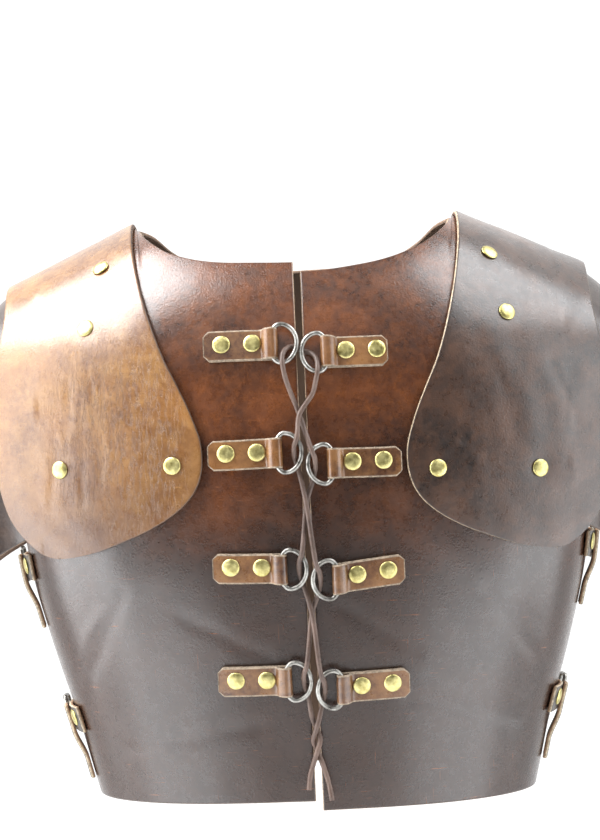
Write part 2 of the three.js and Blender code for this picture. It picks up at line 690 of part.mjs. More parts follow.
// ---- the lace ----
const rowSlide = (side, z) => slide(side, RING_X, z, levelAt(RING_X, z), 'front');
const rowOf = (side, k) => RING_ROWS[k][side < 0 ? 'right' : 'left'];
const ringZ = (side, k) => rowOf(side, k).z - rowSlide(side, rowOf(side, k).z);

/** Half of the lace, from the top rings down, as { x, z, height } over the panels. */
function laceHalf(firstSide, table) {
  const points = [...table.start];
  for (let k = 1; k < RING_ROWS.length; k += 1) {
    const side = firstSide * (k % 2 === 1 ? -1 : 1);
    const z = ringZ(side, k);
    points.push(table.crossings[k - 1]);
    points.push(...LACE_PASS.map(({ x, up, height }) => ({ x: side * x, z: z + up, height })));
  }
  return [...points, ...table.end];
}

// The strand through the wearer's right top ring, and the one through the left.
const LACE_RIGHT = {
  start: [
    { x: -2.6, z: -92.6, height: 1.9 },
    { x: -6.4, z: -92, height: 3.4 },
    { x: -9.9, z: -93.8, height: 6.4 },
    { x: -11.9, z: -98, height: 9 },
    { x: -12, z: -103.4, height: 10.3 },
    { x: -11.2, z: -109.4, height: 9.8 },
    { x: -9.6, z: -116, height: 8 },
  ],
  crossings: [
    { x: -2.3, z: -137.5, height: LACE_UNDER },
    { x: -0.2, z: -197, height: LACE_UNDER },
    { x: 0.4, z: -270.5, height: LACE_CROSS_OVER },
  ],
  end: [
    { x: 2.5, z: -341, height: 4.9 },
    { x: 0, z: -348.8, height: 7.1 },
    { x: -2.3, z: -356.4, height: 4.7 },
    { x: 0, z: -364, height: 2.4 },
    { x: 2.6, z: -371.6, height: 4 },
    { x: 6.2, z: -384, height: 5.4 },
    { x: 8.6, z: -398, height: 8 },
  ],
};
const LACE_LEFT = {
  start: [
    { x: 2.6, z: -95.4, height: 1.9 },
    { x: 7, z: -96.6, height: 3.1 },
    { x: 10.3, z: -100, height: 5.8 },
    { x: 11.2, z: -105.2, height: 8.8 },
    { x: 10.6, z: -110.8, height: 10.3 },
    { x: 9.1, z: -117, height: 9 },
    { x: 7.2, z: -123.5, height: 6.9 },
  ],
  crossings: [
    { x: -2.3, z: -137.5, height: LACE_CROSS_OVER },
    { x: -0.2, z: -197, height: LACE_CROSS_OVER },
    { x: 0.4, z: -270.5, height: LACE_UNDER },
  ],
  end: [
    { x: -2.5, z: -341, height: 4.5 },
    { x: 0, z: -348.8, height: 2.4 },
    { x: 2.3, z: -356.4, height: 4.7 },
    { x: 0, z: -364, height: 7 },
    { x: -2.6, z: -371.6, height: 5.6 },
    { x: -5.4, z: -381, height: 5.6 },
    { x: -6.8, z: -390.5, height: 7.2 },
  ],
};

function laceRoute() {
  const right = laceHalf(-1, LACE_RIGHT);
  const left = laceHalf(1, LACE_LEFT);
  const all = [...right.reverse(), ...left];
  return all.map(({ x, z, height }) => {
    const slid = FRONT_SLIDE * smooth((x + FRONT_GAP_HALF) / (2 * FRONT_GAP_HALF));
    return new THREE.Vector3(x, -bodyFrontAt(z + slid) - height, z);
  });
}

/** Depth of the fronts at their middle edge. */
function bodyFrontAt(z) {
  return -bodyPoint(-1, FRONT_GAP_HALF, levelAt(FRONT_GAP_HALF, z), 'front').y;
}

function laceGeometry() {
  const section = new THREE.Shape();
  for (let i = 0; i < LACE_SIDES; i += 1) {
    const angle = (2 * Math.PI * i) / LACE_SIDES;
    const place = [LACE_RADIUS * Math.cos(angle), LACE_RADIUS * Math.sin(angle)];
    if (i === 0) section.moveTo(...place);
    else section.lineTo(...place);
  }
  section.closePath();
  const path = new THREE.CatmullRomCurve3(laceRoute(), false, 'centripetal');
  path.arcLengthDivisions = LACE_MEASURES;
  return closed(welding(new THREE.ExtrudeGeometry(section, { steps: LACE_STEPS, extrudePath: path })));
}

// ---- side straps ----
/** The level section round the side at a height: the fronts' slide dies away behind the side. */
function sideSection(side, y, z) {
  const slid = side > 0 ? FRONT_SLIDE * smooth((SIDE_SLIDE.until - y) / SIDE_SLIDE.over) : 0;
  return rowAt(BODY_SECTIONS, 'z', z + slid);
}

/** The outside of the body at the side, y mm from the line under the arm. */
function sidePoint(side, y, z) {
  const section = sideSection(side, y, z);
  const x = section.half * share(y, section[y < 0 ? 'front' : 'back']);
  return new THREE.Vector3(side * x, y, z);
}

/** The strap that closes a side, with a rivet at each end. */
function sideStrap(side, row) {
  const yAt = (u) => THREE.MathUtils.lerp(-STRAP_FRONT, STRAP_BACK, u);
  const place = (u, v) => [side, yAt(u), row.z + STRAP_HALF_WIDTH * (2 * v - 1)];
  const band = withNormals((u, v) => sidePoint(...place(u, v)));
  const top = STRAP_SEAT + STRAP_LEATHER;
  const strap = wall(band, shares(12), shares(2), STRAP_SEAT, top);
  const rivets = [STRAP_RIVET_SHARE, 1 - STRAP_RIVET_SHARE].map((u) => {
    const out = band.normal(u, 0.5);
    const foot = band.surface(u, 0.5).addScaledVector(out, top);
    return facing(rivetGeometry(RIVET_SINK), foot, out);
  });
  return joined([strap, ...rivets]);
}

/** The strap's free end: turned down over the strap, in front of the buckle, it hangs flat. */
function strapEnd(side, row) {
  const over = STRAP_SEAT + STRAP_LEATHER + 2 * SEAM_GAP;
  const top = row.z + STRAP_HALF_WIDTH - 1;
  const surface = (u, v) => {
    const z = top - v * STRAP_END_LENGTH;
    const y = STRAP_END_Y + STRAP_END_HALF_WIDTH * (2 * u - 1);
    const below = row.z - STRAP_HALF_WIDTH - STRAP_END_FALL.below;
    const falling = smooth((below - z) / STRAP_END_FALL.over);
    const point = sidePoint(side, y, z);
    point.x += side * (STRAP_END_LIFT + THREE.MathUtils.lerp(over, STRAP_SEAT, falling));
    return point;
  };
  return wall(withNormals(surface), shares(1), shares(7), 0, STRAP_LEATHER);
}

/** A rectangular wire frame on the strap. */
function sideBuckle(side, row) {
  const box = (length, width) => {
    const shape = new THREE.Shape();
    const [l, w] = [length - BUCKLE_CORNER, width - BUCKLE_CORNER];
    shape.absarc(l, w, BUCKLE_CORNER, 0, Math.PI / 2, false);
    shape.absarc(-l, w, BUCKLE_CORNER, Math.PI / 2, Math.PI, false);
    shape.absarc(-l, -w, BUCKLE_CORNER, Math.PI, 1.5 * Math.PI, false);
    shape.absarc(l, -w, BUCKLE_CORNER, 1.5 * Math.PI, 2 * Math.PI, false);
    shape.closePath();
    return shape;
  };
  const wire = 2 * BUCKLE_WIRE;
  const frame = box(BUCKLE_HALF_LENGTH, BUCKLE_HALF_WIDTH);
  frame.holes.push(box(BUCKLE_HALF_LENGTH - wire, BUCKLE_HALF_WIDTH - wire));
  const flat = { depth: wire, bevelEnabled: false, curveSegments: 2 };
  const welded = welding(new THREE.ExtrudeGeometry(frame, flat));
  const p = welded.attributes.position;
  for (let i = 0; i < p.count; i += 1) {
    const [along, up, height] = [p.getX(i), p.getY(i), p.getZ(i)];
    const here = sidePoint(side, BUCKLE_Y + along, row.z + up);
    const rise = STRAP_SEAT + STRAP_LEATHER + BUCKLE_SEAT + height;
    p.setXYZ(i, here.x + side * rise, here.y, here.z);
  }
  return closed(welded);
}

// ---- the whole ----
const armour = new THREE.Group();

function add(name, geometry, look) {
  const mesh = new THREE.Mesh(geometry, new THREE.MeshStandardMaterial(look));
  mesh.name = name;
  armour.add(mesh);
}

add('back', backPanel(), leather);
for (const [wearers, side] of [['right', -1], ['left', 1]]) {
  add(`front_${wearers}`, frontPanel(side), leather);
  add(`shoulder_plate_${wearers}`, shoulderPlate(side), side < 0 ? tabLeather : darkLeather);
  for (const number of [1, 2]) {
    add(`arm_lame_${wearers}_${number}`, armLame(side, number), darkLeather);
  }
  for (const face of ['front', 'back']) {
    for (const spot of PLATE_RIVETS) {
      const geometry = plateRivet(side, spot[wearers], face);
      add(`plate_rivet_${wearers}_${face}_${spot.name}`, geometry, brass);
    }
  }
  RING_ROWS.forEach((row, k) => {
    add(`ring_tab_${wearers}_${k + 1}`, ringTab(side, row[wearers]), tabLeather);
    add(`lacing_ring_${wearers}_${k + 1}`, lacingRing(side, row[wearers]), steel);
  });
  for (const row of STRAP_ROWS) {
    add(`side_strap_${wearers}_${row.name}`, sideStrap(side, row), darkLeather);
    add(`side_buckle_${wearers}_${row.name}`, sideBuckle(side, row), steel);
    add(`strap_end_${wearers}_${row.name}`, strapEnd(side, row), darkLeather);
  }
}
add('lace', laceGeometry(), laceLeather);

export default armour;
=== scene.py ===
"""A segmented leather cuirass: laced fronts, a back, riveted shoulder plates and arm lames."""
import math

import bpy
import numpy as np
from mathutils import Matrix, Vector


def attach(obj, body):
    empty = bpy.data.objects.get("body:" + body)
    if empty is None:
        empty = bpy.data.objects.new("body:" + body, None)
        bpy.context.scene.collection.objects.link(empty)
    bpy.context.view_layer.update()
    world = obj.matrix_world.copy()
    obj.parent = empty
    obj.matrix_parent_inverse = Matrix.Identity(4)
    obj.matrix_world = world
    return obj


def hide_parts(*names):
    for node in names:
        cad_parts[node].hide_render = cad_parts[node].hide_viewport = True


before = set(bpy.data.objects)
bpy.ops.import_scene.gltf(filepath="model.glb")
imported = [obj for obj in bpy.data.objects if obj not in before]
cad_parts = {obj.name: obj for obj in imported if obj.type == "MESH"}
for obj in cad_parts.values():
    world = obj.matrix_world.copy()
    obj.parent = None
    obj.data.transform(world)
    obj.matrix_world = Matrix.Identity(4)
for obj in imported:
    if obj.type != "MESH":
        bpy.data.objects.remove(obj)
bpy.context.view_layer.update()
MM = 0.001

# ---------------------------------------------------------------- camera
camera_data = bpy.data.cameras.new("camera")
camera_data.sensor_fit = "HORIZONTAL"
camera_data.sensor_width = 36
camera_data.lens = 134.9
camera_data.clip_end = 30
camera = bpy.data.objects.new("camera", camera_data)
bpy.context.scene.collection.objects.link(camera)
ROLL = math.radians(2.5)
camera.matrix_world = (
    Matrix.Translation((-0.002, -1.622, -0.141))
    @ Matrix.Rotation(math.pi / 2, 4, "X")
    @ Matrix.Rotation(-ROLL, 4, "Z")
)
bpy.context.scene.camera = camera

# ---------------------------------------------------------------- the armour's measures, in mm
LEATHER = 3.5
LAME_LEATHER = 3.0
HEM_Z = -400.0
CHEST_Z = -120.0
RIDGE_Y = 6.0
TIP_X = 113.5
TIP_Z = 2.0
SHOULDER_SLOPE = 0.4516
NECK_RISE = 18.0
GAP_HALF = 2.3
SLIDE = 6.5
POWER = 2.4
PLATE_LIFT = 0.8
PLATE_BENDS_AT_X = 120.0
PLATE_BEND = 0.0012
SEAM = 0.3
# a place well inside the wearer, from which every outside looks away
INSIDE = np.array([0, 0, -230.0])

# z, half width, front depth, back depth
BODY = np.array([
    (-400, 156, 98, 86),
    (-345, 170, 106, 94),
    (-290, 186, 115, 103),
    (-236, 199, 122, 111),
    (-180, 204, 125, 117),
    (-120, 202, 123, 119),
], float)
# z, angle of the side edge round the section
ARMHOLE_ANGLES = np.array([
    (-400, 88.4), (-222, 88.4), (-213, 80), (-200, 71), (-180, 63.5), (-150, 58), (-120, 56.3),
], float)
# share of the arch, distance of the armhole's edge from the middle
ARMHOLE_EDGE = np.array([(0, 168), (0.5, 166), (1, 176)], float)
# distance from the middle, height
FRONT_NECK = np.array([
    (0, -33), (38, -31.5), (58, -30), (73, -27), (90, -20.5), (106, -8), (113.5, 2),
], float)
BACK_NECK = np.array([
    (0, -27), (50, -25), (75, -20), (92, -11), (104, -1), (113.5, 2),
], float)
BODY_SHARE = 0.6
# row, way up in mm from the chest height, inner edge, outer edge
PLATE = np.array([
    (0, -108.5, 168, 168),
    (1, -107.2, 156, 175.5),
    (2, -104, 141, 182),
    (3, -98.5, 125, 189),
    (4, -90, 104.5, 197),
    (5, -79.5, 86.8, 203.5),
    (6, -67, 74.4, 208),
    (7, -52, 68.5, 211.5),
    (8, -35, 68.3, 213.5),
    (9, -17, 73.5, 213.5),
    (10, 0, 80.5, 212),
    (11, 19, 91.5, 210),
    (12, 42, 100.8, 207.5),
    (13, 67, 107.5, 205),
    (14, 96, 112, 204.5),
    (15, 128, 114, 205.5),
    (16, 160, 114.3, 206.5),
], float)
ARCH_LENGTH = 160.0
# u, top x, top z, base x, depth, base z, end x, end z
LAME_1 = np.array([
    (0, 188, -32.6, 190, 73.2, -120, 184, -211),
    (0.38, 206, -41.6, 211, 61.5, -122, 201, -219),
    (1, 234, -66, 229, 56, -142, 223, -231),
], float)
LAME_2_OUTER = np.array([252, -106, 244, 50, -172, 241, -244], float)
LAME_2_FROM = 0.66
LAME_2_EDGE = 0.38
LAME_GAP = 0.8
LAME_LEG = 0.3
# distance from the middle and height, on the wearer's right (-1) and left (1)
PLATE_RIVETS = {
    "shoulder": {-1: (134, -33), 1: (132.5, -33)},
    "chest": {-1: (144, -74), 1: (140.5, -70.5)},
    "inner": {-1: (88, -168), 1: (88, -170.5)},
    "outer": {-1: (165, -168), 1: (158, -174)},
}
# height, tilt, how far the strap is set in, and how much shorter it is
RING_ROWS = [
    {-1: (-90.5, 0, 0, 0), 1: (-91, 0, 1.2, 4.8)},
    {-1: (-162.5, 0, 0, 0), 1: (-164.5, 0, 0, 0)},
    {-1: (-239.5, 2.5, 0, 0), 1: (-241, 5.5, 0, 1)},
    {-1: (-315, 1, 0, 0), 1: (-315, 2, 0, 0.5)},
]
RING_X = 13.0
RING_HALF = (11.0, 13.1)
RING_WIRE = 1.6
# half width of the side that lies in the fold
RING_HIDDEN_HALF = 6.8
RING_RISE = 5.5
RING_RISE_INWARD = 0.06
TAB_FOLD = 14.6
TAB_END = 64.5
TAB_HALF = 10.0
TAB_LEATHER = 2.0
TAB_SEAT = 0.35
TAB_EYE = 5.4
TAB_CHAMFER = 4.0
TAB_EDGE_ROUND = 0.75
TAB_RIVETS = (31.5, 52.0)
STRAP_ROWS = {"upper": -236, "lower": -344}
STRAP_HALF = 9.0
STRAP_LEATHER = 3.0
STRAP_SEAT = 0.9
STRAP_FRONT = 42.0
STRAP_BACK = 62.0
STRAP_RIVETS = (0.09, 0.91)
STRAP_END_LENGTH = 52.0
STRAP_END_Y = -17.0
STRAP_END_HALF = 8.6
BUCKLE_Y = 3.0
BUCKLE_HALF = (4.9, 8.9)
BUCKLE_CORNER = 2.5
BUCKLE_WIRE = 1.6
OVER_STRAP = STRAP_SEAT + STRAP_LEATHER + 0.6


def smooth(t):
    t = np.clip(t, 0, 1)
    return t * t * (3 - 2 * t)


def row_at(table, at):
    """The table's columns at any place between its rows, on a smooth curve."""
    at = np.asarray(at, float)
    key = table[:, 0]
    last = len(key) - 1
    at = np.clip(at, key[0], key[-1])
    i = np.clip(np.searchsorted(key, at, side="left") - 1, 0, last - 1)
    before, after = table[np.maximum(i - 1, 0)], table[np.minimum(i + 2, last)]
    a, b = table[i], table[i + 1]
    span = (b[..., :1] - a[..., :1])
    t = (at[..., None] - a[..., :1]) / span
    rise = b - a
    slope_a = span * (b - before) / (b[..., :1] - before[..., :1])
    slope_b = span * (after - a) / (after[..., :1] - a[..., :1])
    bend = slope_a + slope_b - 2 * rise
    out = a + t * (slope_a + t * (rise - slope_a - bend + t * bend))
    return out[..., 1:]


def share(x, half):
    return (1 - np.minimum(1, np.abs(x) / half) ** POWER) ** (1 / POWER)


def body_depth(x, z, face):
    section = row_at(BODY, z)
    return section[..., 1 if face == "front" else 2] * share(x, section[..., 0])


def plate_depth(x, z, face):
    """The body's depth as far as the plate's bend, and a gentle fall beyond it."""
    past = np.maximum(x - PLATE_BENDS_AT_X, 0)
    edge = body_depth(np.full_like(z, PLATE_BENDS_AT_X), z, face)
    slope = edge - body_depth(np.full_like(z, PLATE_BENDS_AT_X + 1), z, face)
    on = body_depth(np.minimum(x, PLATE_BENDS_AT_X), z, face)
    return on - slope * past - PLATE_BEND * past * past


def ridge_z(x):
    inward = TIP_X - x
    rise = NECK_RISE * (1 - np.exp(-SHOULDER_SLOPE * np.maximum(inward, 0) / NECK_RISE))
    return TIP_Z + np.where(inward < 0, SHOULDER_SLOPE * inward, rise)


def level_at(x, z):
    arch = np.arcsin(np.clip((z - CHEST_Z) / (ridge_z(x) - CHEST_Z), 0, 1)) / (math.pi / 2)
    return np.where(z <= CHEST_Z, z - CHEST_Z, arch)


def slide(side, x, z, level, face):
    """How far the wearer's left front has slid down at a place."""
    if side < 0 or face == "back":
        return 0 * z
    away = np.hypot(x - TIP_X, z - TIP_Z)
    return SLIDE * smooth((away - 20) / 90) * smooth((1 - level) / 0.4)


def form(side, x, level, face, depth_at=body_depth, lift=0.0):
    """Points of the body's form, x mm from the middle on one side, at a level."""
    x = np.asarray(x, float) + 0 * np.asarray(level, float)
    level = np.asarray(level, float) + 0 * x
    toward = -1 if face == "front" else 1
    z0 = CHEST_Z + np.minimum(level, 0)
    angle = np.maximum(level, 0) * math.pi / 2
    depth = depth_at(x, z0, face) + lift
    y = np.where(level > 0, RIDGE_Y + (toward * depth - RIDGE_Y) * np.cos(angle), toward * depth)
    z = z0 + np.where(level > 0, (ridge_z(x) + lift - CHEST_Z) * np.sin(angle), 0)
    return np.stack([side * x, y, z - slide(side, x, z, level, face)], -1)


def panel_grid(side, face, inner_x, neck, us, vs):
    """Outside of a panel: u from its middle edge outwards, v from hem to top."""
    u, v = np.meshgrid(us, vs)

    def edge_x(level):
        return row_at(ARMHOLE_EDGE, level)[..., 0]

    def section_x(z):
        half = row_at(BODY, z)[..., 0]
        outer = np.radians(row_at(ARMHOLE_ANGLES, z)[..., 0])
        inner = np.arcsin(inner_x / half)
        return half * np.sin(inner + u * (outer - inner))

    chest_x = section_x(np.full_like(u, CHEST_Z))
    across = (chest_x - inner_x) / (edge_x(0.0) - inner_x)

    def arch_x(level):
        return inner_x + across * (edge_x(level) - inner_x)

    level = np.ones_like(u)
    at_ridge = np.zeros_like(u, bool)
    for _ in range(6):
        x = arch_x(level)
        at_ridge |= x >= TIP_X
        level = np.where(at_ridge, 1.0, level_at(x, row_at(neck, x)[..., 0]))
    chest_depth = BODY[-1, 2 if face == "front" else 3]
    top = level - SEAM / 2 / (chest_depth * math.pi / 2)
    z = HEM_Z + (CHEST_Z - HEM_Z) * np.minimum(v / BODY_SHARE, 1)
    up = top * (v - BODY_SHARE) / (1 - BODY_SHARE)
    upper = v > BODY_SHARE
    x = np.where(upper, arch_x(np.maximum(up, 0)), section_x(z))
    return form(side, x, np.where(upper, up, z - CHEST_Z), face)


def plate_grid(side, us, vs):
    u, v = np.meshgrid(us, vs)
    row = row_at(PLATE, 2 * PLATE[-1, 0] * np.minimum(v, 1 - v))
    way = row[..., 0]
    level = np.where(way > 0, np.minimum(1, way / ARCH_LENGTH), way)
    x = row[..., 1] + u * (row[..., 2] - row[..., 1])
    front = form(side, x, level, "front", plate_depth, PLATE_LIFT)
    back = form(side, x, level, "back", plate_depth, PLATE_LIFT)
    return np.where((v < 0.5)[..., None], front, back)


def rail_grid(side, rails, v):
    """Points of lame rails: v from the front end over the arm to the back end."""
    top_x, top_z, base_x, depth, base_z, end_x, end_z = np.moveaxis(rails, -1, 0)
    along = 2 * np.minimum(v, 1 - v)
    y0 = np.where(v < 0.5, -depth, depth)
    t = np.minimum(along / LAME_LEG, 1)
    leg_x = end_x + (base_x - end_x) * (2 * smooth(0.5 + t / 2) - 1)
    leg_z = end_z + (base_z - end_z) * t
    level = np.maximum(along - LAME_LEG, 0) / (1 - LAME_LEG)
    angle = level * math.pi / 2
    x = np.where(level > 0, base_x + (top_x - base_x) * np.sin(angle), leg_x)
    y = np.where(level > 0, RIDGE_Y + (y0 - RIDGE_Y) * np.cos(angle), y0)
    z = np.where(level > 0, base_z + (top_z - base_z) * np.sin(angle), leg_z)
    down = np.where(v < 0.5, slide(side, x, z, level, "front"), 0)
    return np.stack([side * x, y, z - down], -1)


def grid_normals(points):
    """Normals of a grid of points, away from the inside of the wearer."""
    du = np.gradient(points, axis=1)
    dv = np.gradient(points, axis=0)
    normal = np.cross(du, dv)
    size = np.linalg.norm(normal, axis=-1, keepdims=True)
    normal = normal / np.maximum(size, 1e-9)
    flat = size[..., 0] < 1e-9
    normal[0] = np.where(flat[0][:, None], normal[1], normal[0])
    normal[-1] = np.where(flat[-1][:, None], normal[-2], normal[-1])
    away = np.sum(normal * (points - INSIDE), -1)
    return normal * np.where(away < 0, -1, 1)[..., None]


def lame_grid(side, number, us, vs):
    u, v = np.meshgrid(us, vs)

    def first(u1):
        return rail_grid(side, row_at(LAME_1, u1), v)

    if number == 1:
        return first(u)

    def inside(u1):
        steps = [first(np.full_like(u, np.clip(u1 + d, 0, 1))) for d in (-0.01, 0.01)]
        here = first(np.full_like(u, u1))
        normal = np.cross(steps[1] - steps[0], np.gradient(here, axis=0))
        normal /= np.linalg.norm(normal, axis=-1, keepdims=True)
        away = np.sum(normal * (here - INSIDE), -1)
        normal *= np.where(away < 0, -1, 1)[..., None]
        return here - normal * (LAME_LEATHER + LAME_GAP)

    a, b = inside(LAME_2_FROM), inside(1.0)
    c = rail_grid(side, np.broadcast_to(LAME_2_OUTER, u.shape + (7,)), v)
    table = [(0.0, a), (LAME_2_EDGE, b), (1.0, c)]
    flat_u = u[..., None]
    span = LAME_2_EDGE
    slope_mid = (c - a)
    t1 = flat_u / span
    t2 = (flat_u - span) / (1 - span)

    def piece(t, p, q, m0, m1):
        bend = m0 + m1 - 2 * (q - p)
        return p + t * (m0 + t * ((q - p) - m0 - bend + t * bend))

    low = piece(t1, a, b, b - a, slope_mid * span)
    high = piece(t2, b, c, slope_mid * (1 - span), c - b)
    return np.where(flat_u <= span, low, high)


# ---------------------------------------------------------------- surface life: waves and creases
def waves(points, size, seed, count=7):
    """A soft uneven field, about -1 to 1, with features of a size in mm."""
    rng = np.random.default_rng(seed)
    total = np.zeros(points.shape[:-1])
    for _ in range(count):
        direction = rng.normal(size=3)
        direction *= 2 * math.pi / size / np.linalg.norm(direction) * rng.uniform(0.6, 1.5)
        total += np.sin(points @ direction + rng.uniform(0, 2 * math.pi))
    return total / math.sqrt(count) / 1.4


def troughs(points, face, marks):
    """Soft troughs and ridges along short lines: (x0, z0, x1, z1, width, height) seen from the front."""
    total = np.zeros(points.shape[:-1])
    on_face = (points[..., 1] < RIDGE_Y) if face == "front" else (points[..., 1] >= RIDGE_Y)
    for x0, z0, x1, z1, width, height in marks:
        way = np.array([x1 - x0, z1 - z0], float)
        length = np.hypot(*way)
        way /= length
        rel = np.stack([points[..., 0] - x0, points[..., 2] - z0], -1)
        along = rel @ way
        off = rel @ np.array([-way[1], way[0]]) + 0.7 * np.sin(along / 6.0 + x0)
        past = np.maximum(0, np.maximum(-along, along - length))
        total += height * np.exp(-((off / width) ** 2) - (past / 6.0) ** 2) * on_face
    return total


def dimples(points, spots, depth=0.45, radius=10.0):
    total = np.zeros(points.shape[:-1])
    for spot in spots:
        total -= depth * np.exp(-np.sum((points - spot) ** 2, -1) / radius ** 2)
    return total


# ---------------------------------------------------------------- meshes
def edge_shares(count, length, curl=(0.25, 0.7, 1.3, 2.4, 4.5)):
    """Shares from 0 to 1 that come close together at both ends; length and curl in mm."""
    near = [0.0] + [c / length for c in curl]
    middle = np.linspace(near[-1], 1 - near[-1], count)[1:-1]
    return np.array(near + list(middle) + [1 - s for s in reversed(near)])


def make_mesh(name, points, faces):
    mesh = bpy.data.meshes.new(name)
    mesh.from_pydata([tuple(p * MM) for p in points], [], faces)
    mesh.validate()
    mesh.update()
    mesh.shade_smooth()
    obj = bpy.data.objects.new(name, mesh)
    bpy.context.scene.collection.objects.link(obj)
    return obj


def put_attributes(obj, **fields):
    """Numbers at each point that the leather reads: rim, wear and inside."""
    for name, values in fields.items():
        attribute = obj.data.attributes.new(name, "FLOAT", "POINT")
        attribute.data.foreach_set("value", np.asarray(values, np.float32).ravel())


# how far in from a cut edge the bare leather and the rubbed surface reach, in mm
RIM_REACH, WEAR_REACH = 0.9, 3.5


def wall(name, points, low, high, relief=None, round_edge=1.0, sides=(1, 1, 1, 1)):
    """A leather wall on a grid of points, from low to high mm outside it, its edges rounded.

    sides tells which edges are cut edges: first and last column, first and last row.
    """
    rows, columns = points.shape[:2]
    normal = grid_normals(points)
    du = np.linalg.norm(np.diff(points, axis=1), axis=-1)
    dv = np.linalg.norm(np.diff(points, axis=0), axis=-1)
    cu = np.concatenate([np.zeros((rows, 1)), np.cumsum(du, 1)], 1)
    cv = np.concatenate([np.zeros((1, columns)), np.cumsum(dv, 0)], 0)
    far = np.full((rows, columns), 1e3)
    reach = [
        cu if sides[0] else far,
        cu[:, -1:] - cu if sides[1] else far,
        cv if sides[2] else far,
        cv[-1:] - cv if sides[3] else far,
    ]
    d = np.minimum.reduce(reach)
    r = min(round_edge, (high - low) / 2 - 0.05)
    drop = r - np.sqrt(np.maximum(r * r - np.maximum(r - d, 0) ** 2, 0))
    relief = 0 if relief is None else relief
    outer = points + normal * (high - drop + relief)[..., None]
    inner = points + normal * (low + drop + relief * 0.8)[..., None]
    flat = np.concatenate([inner.reshape(-1, 3), outer.reshape(-1, 3)])
    size = rows * columns
    at = np.arange(size).reshape(rows, columns)
    a, b, c, e = at[:-1, :-1], at[:-1, 1:], at[1:, 1:], at[1:, :-1]
    out = np.stack([a, b, c, e], -1).reshape(-1, 4) + size
    back = np.stack([a, e, c, b], -1).reshape(-1, 4)
    ring = list(at[0, :]) + list(at[1:, -1]) + list(at[-1, -2::-1]) + list(at[-2:0:-1, 0])
    ring = np.array(ring)
    nxt = np.roll(ring, -1)
    rim = np.stack([ring, nxt, nxt + size, ring + size], -1)
    faces = np.concatenate([out, back, rim])
    middle = (rows // 2, columns // 2)
    p = points
    turned = np.dot(
        np.cross(p[middle[0], middle[1] + 1] - p[middle], p[middle[0] + 1, middle[1]] - p[middle]),
        normal[middle],
    )
    if turned < 0:
        faces = faces[:, ::-1]
    obj = make_mesh(name, flat, faces.tolist())
    put_attributes(
        obj,
        rim=np.tile(np.clip(1 - d.ravel() / RIM_REACH, 0, 1), 2),
        wear=np.tile(np.exp(-d.ravel() / WEAR_REACH), 2),
        inside=np.concatenate([np.ones(size), np.zeros(size)]),
    )
    obj["area"] = float(grid_area(points))
    return obj


def grid_area(points):
    a = points[1:, 1:] - points[:-1, :-1]
    b = points[1:, :-1] - points[:-1, 1:]
    return np.sum(np.linalg.norm(np.cross(a, b), axis=-1)) / 2 * 1e-6


# ---------------------------------------------------------------- materials
class Nodes:
    """A short way to write a node tree."""

    def __init__(self, name):
        self.material = bpy.data.materials.new(name)
        self.material.use_nodes = True
        self.tree = self.material.node_tree
        self.shader = self.tree.nodes["Principled BSDF"]
        self.place = self.tree.nodes.new("ShaderNodeTexCoord").outputs["Object"]

    def put(self, kind, **inputs):
        node = self.tree.nodes.new(kind)
        for key, value in inputs.items():
            if key == "feature":
                setattr(node, key, value)
        for key, value in inputs.items():
            name = key.replace("_", " ")
            if name in node.inputs:
                self.feed(node.inputs[name], value)
        return node

    def feed(self, socket, value):
        if isinstance(value, bpy.types.NodeSocket):
            self.tree.links.new(value, socket)
        elif isinstance(value, (tuple, list)):
            opaque = (1.0,) if len(value) == 3 and len(socket.default_value) == 4 else ()
            socket.default_value = tuple(value) + opaque
        else:
            socket.default_value = value

    def noise(self, scale, detail=4.0, roughness=0.6, place=None, distortion=0.0):
        node = self.put("ShaderNodeTexNoise", Scale=scale, Detail=detail, Roughness=roughness,
                        Distortion=distortion, Vector=place or self.place)
        return node.outputs["Fac"]

    def stretched(self, factors, turn=(0, 0, 0)):
        node = self.put("ShaderNodeMapping", Vector=self.place, Scale=factors, Rotation=turn)
        return node.outputs["Vector"]

    def part(self, axis):
        """A place's X, Y or Z, in m."""
        return self.put("ShaderNodeSeparateXYZ", Vector=self.place).outputs[axis]

    def cells(self, scale, feature="F1", place=None):
        node = self.put("ShaderNodeTexVoronoi", feature=feature, Scale=scale, Vector=place or self.place)
        return node.outputs["Distance"]

    def between(self, value, low, high, to_low=0.0, to_high=1.0):
        node = self.put("ShaderNodeMapRange", Value=value)
        for key, number in (("From Min", low), ("From Max", high), ("To Min", to_low), ("To Max", to_high)):
            node.inputs[key].default_value = number
        return node.outputs["Result"]

    def mix(self, factor, a, b, blend="MIX"):
        node = self.tree.nodes.new("ShaderNodeMix")
        node.data_type = "RGBA"
        node.blend_type = blend
        self.feed(node.inputs["Factor"], factor)
        self.feed(node.inputs[6], a)
        self.feed(node.inputs[7], b)
        return node.outputs[2]

    def math(self, operation, a, b=0.0):
        node = self.tree.nodes.new("ShaderNodeMath")
        node.operation = operation
        self.feed(node.inputs[0], a)
        self.feed(node.inputs[1], b)
        return node.outputs[0]

    def attribute(self, name):
        node = self.tree.nodes.new("ShaderNodeAttribute")
        node.attribute_name = name
        return node.outputs["Fac"]

    def bump(self, layers):
        """Layers of (height, distance in m, strength), stacked."""
        normal = None
        for height, distance, strength in layers:
            node = self.tree.nodes.new("ShaderNodeBump")
            node.inputs["Distance"].default_value = distance
            node.inputs["Strength"].default_value = strength
            self.feed(node.inputs["Height"], height)
            if normal is not None:
                self.feed(node.inputs["Normal"], normal)
            normal = node.outputs["Normal"]
        self.feed(self.shader.inputs["Normal"], normal)

    def set(self, **values):
        for key, value in values.items():
            self.feed(self.shader.inputs[key.replace("_", " ")], value)


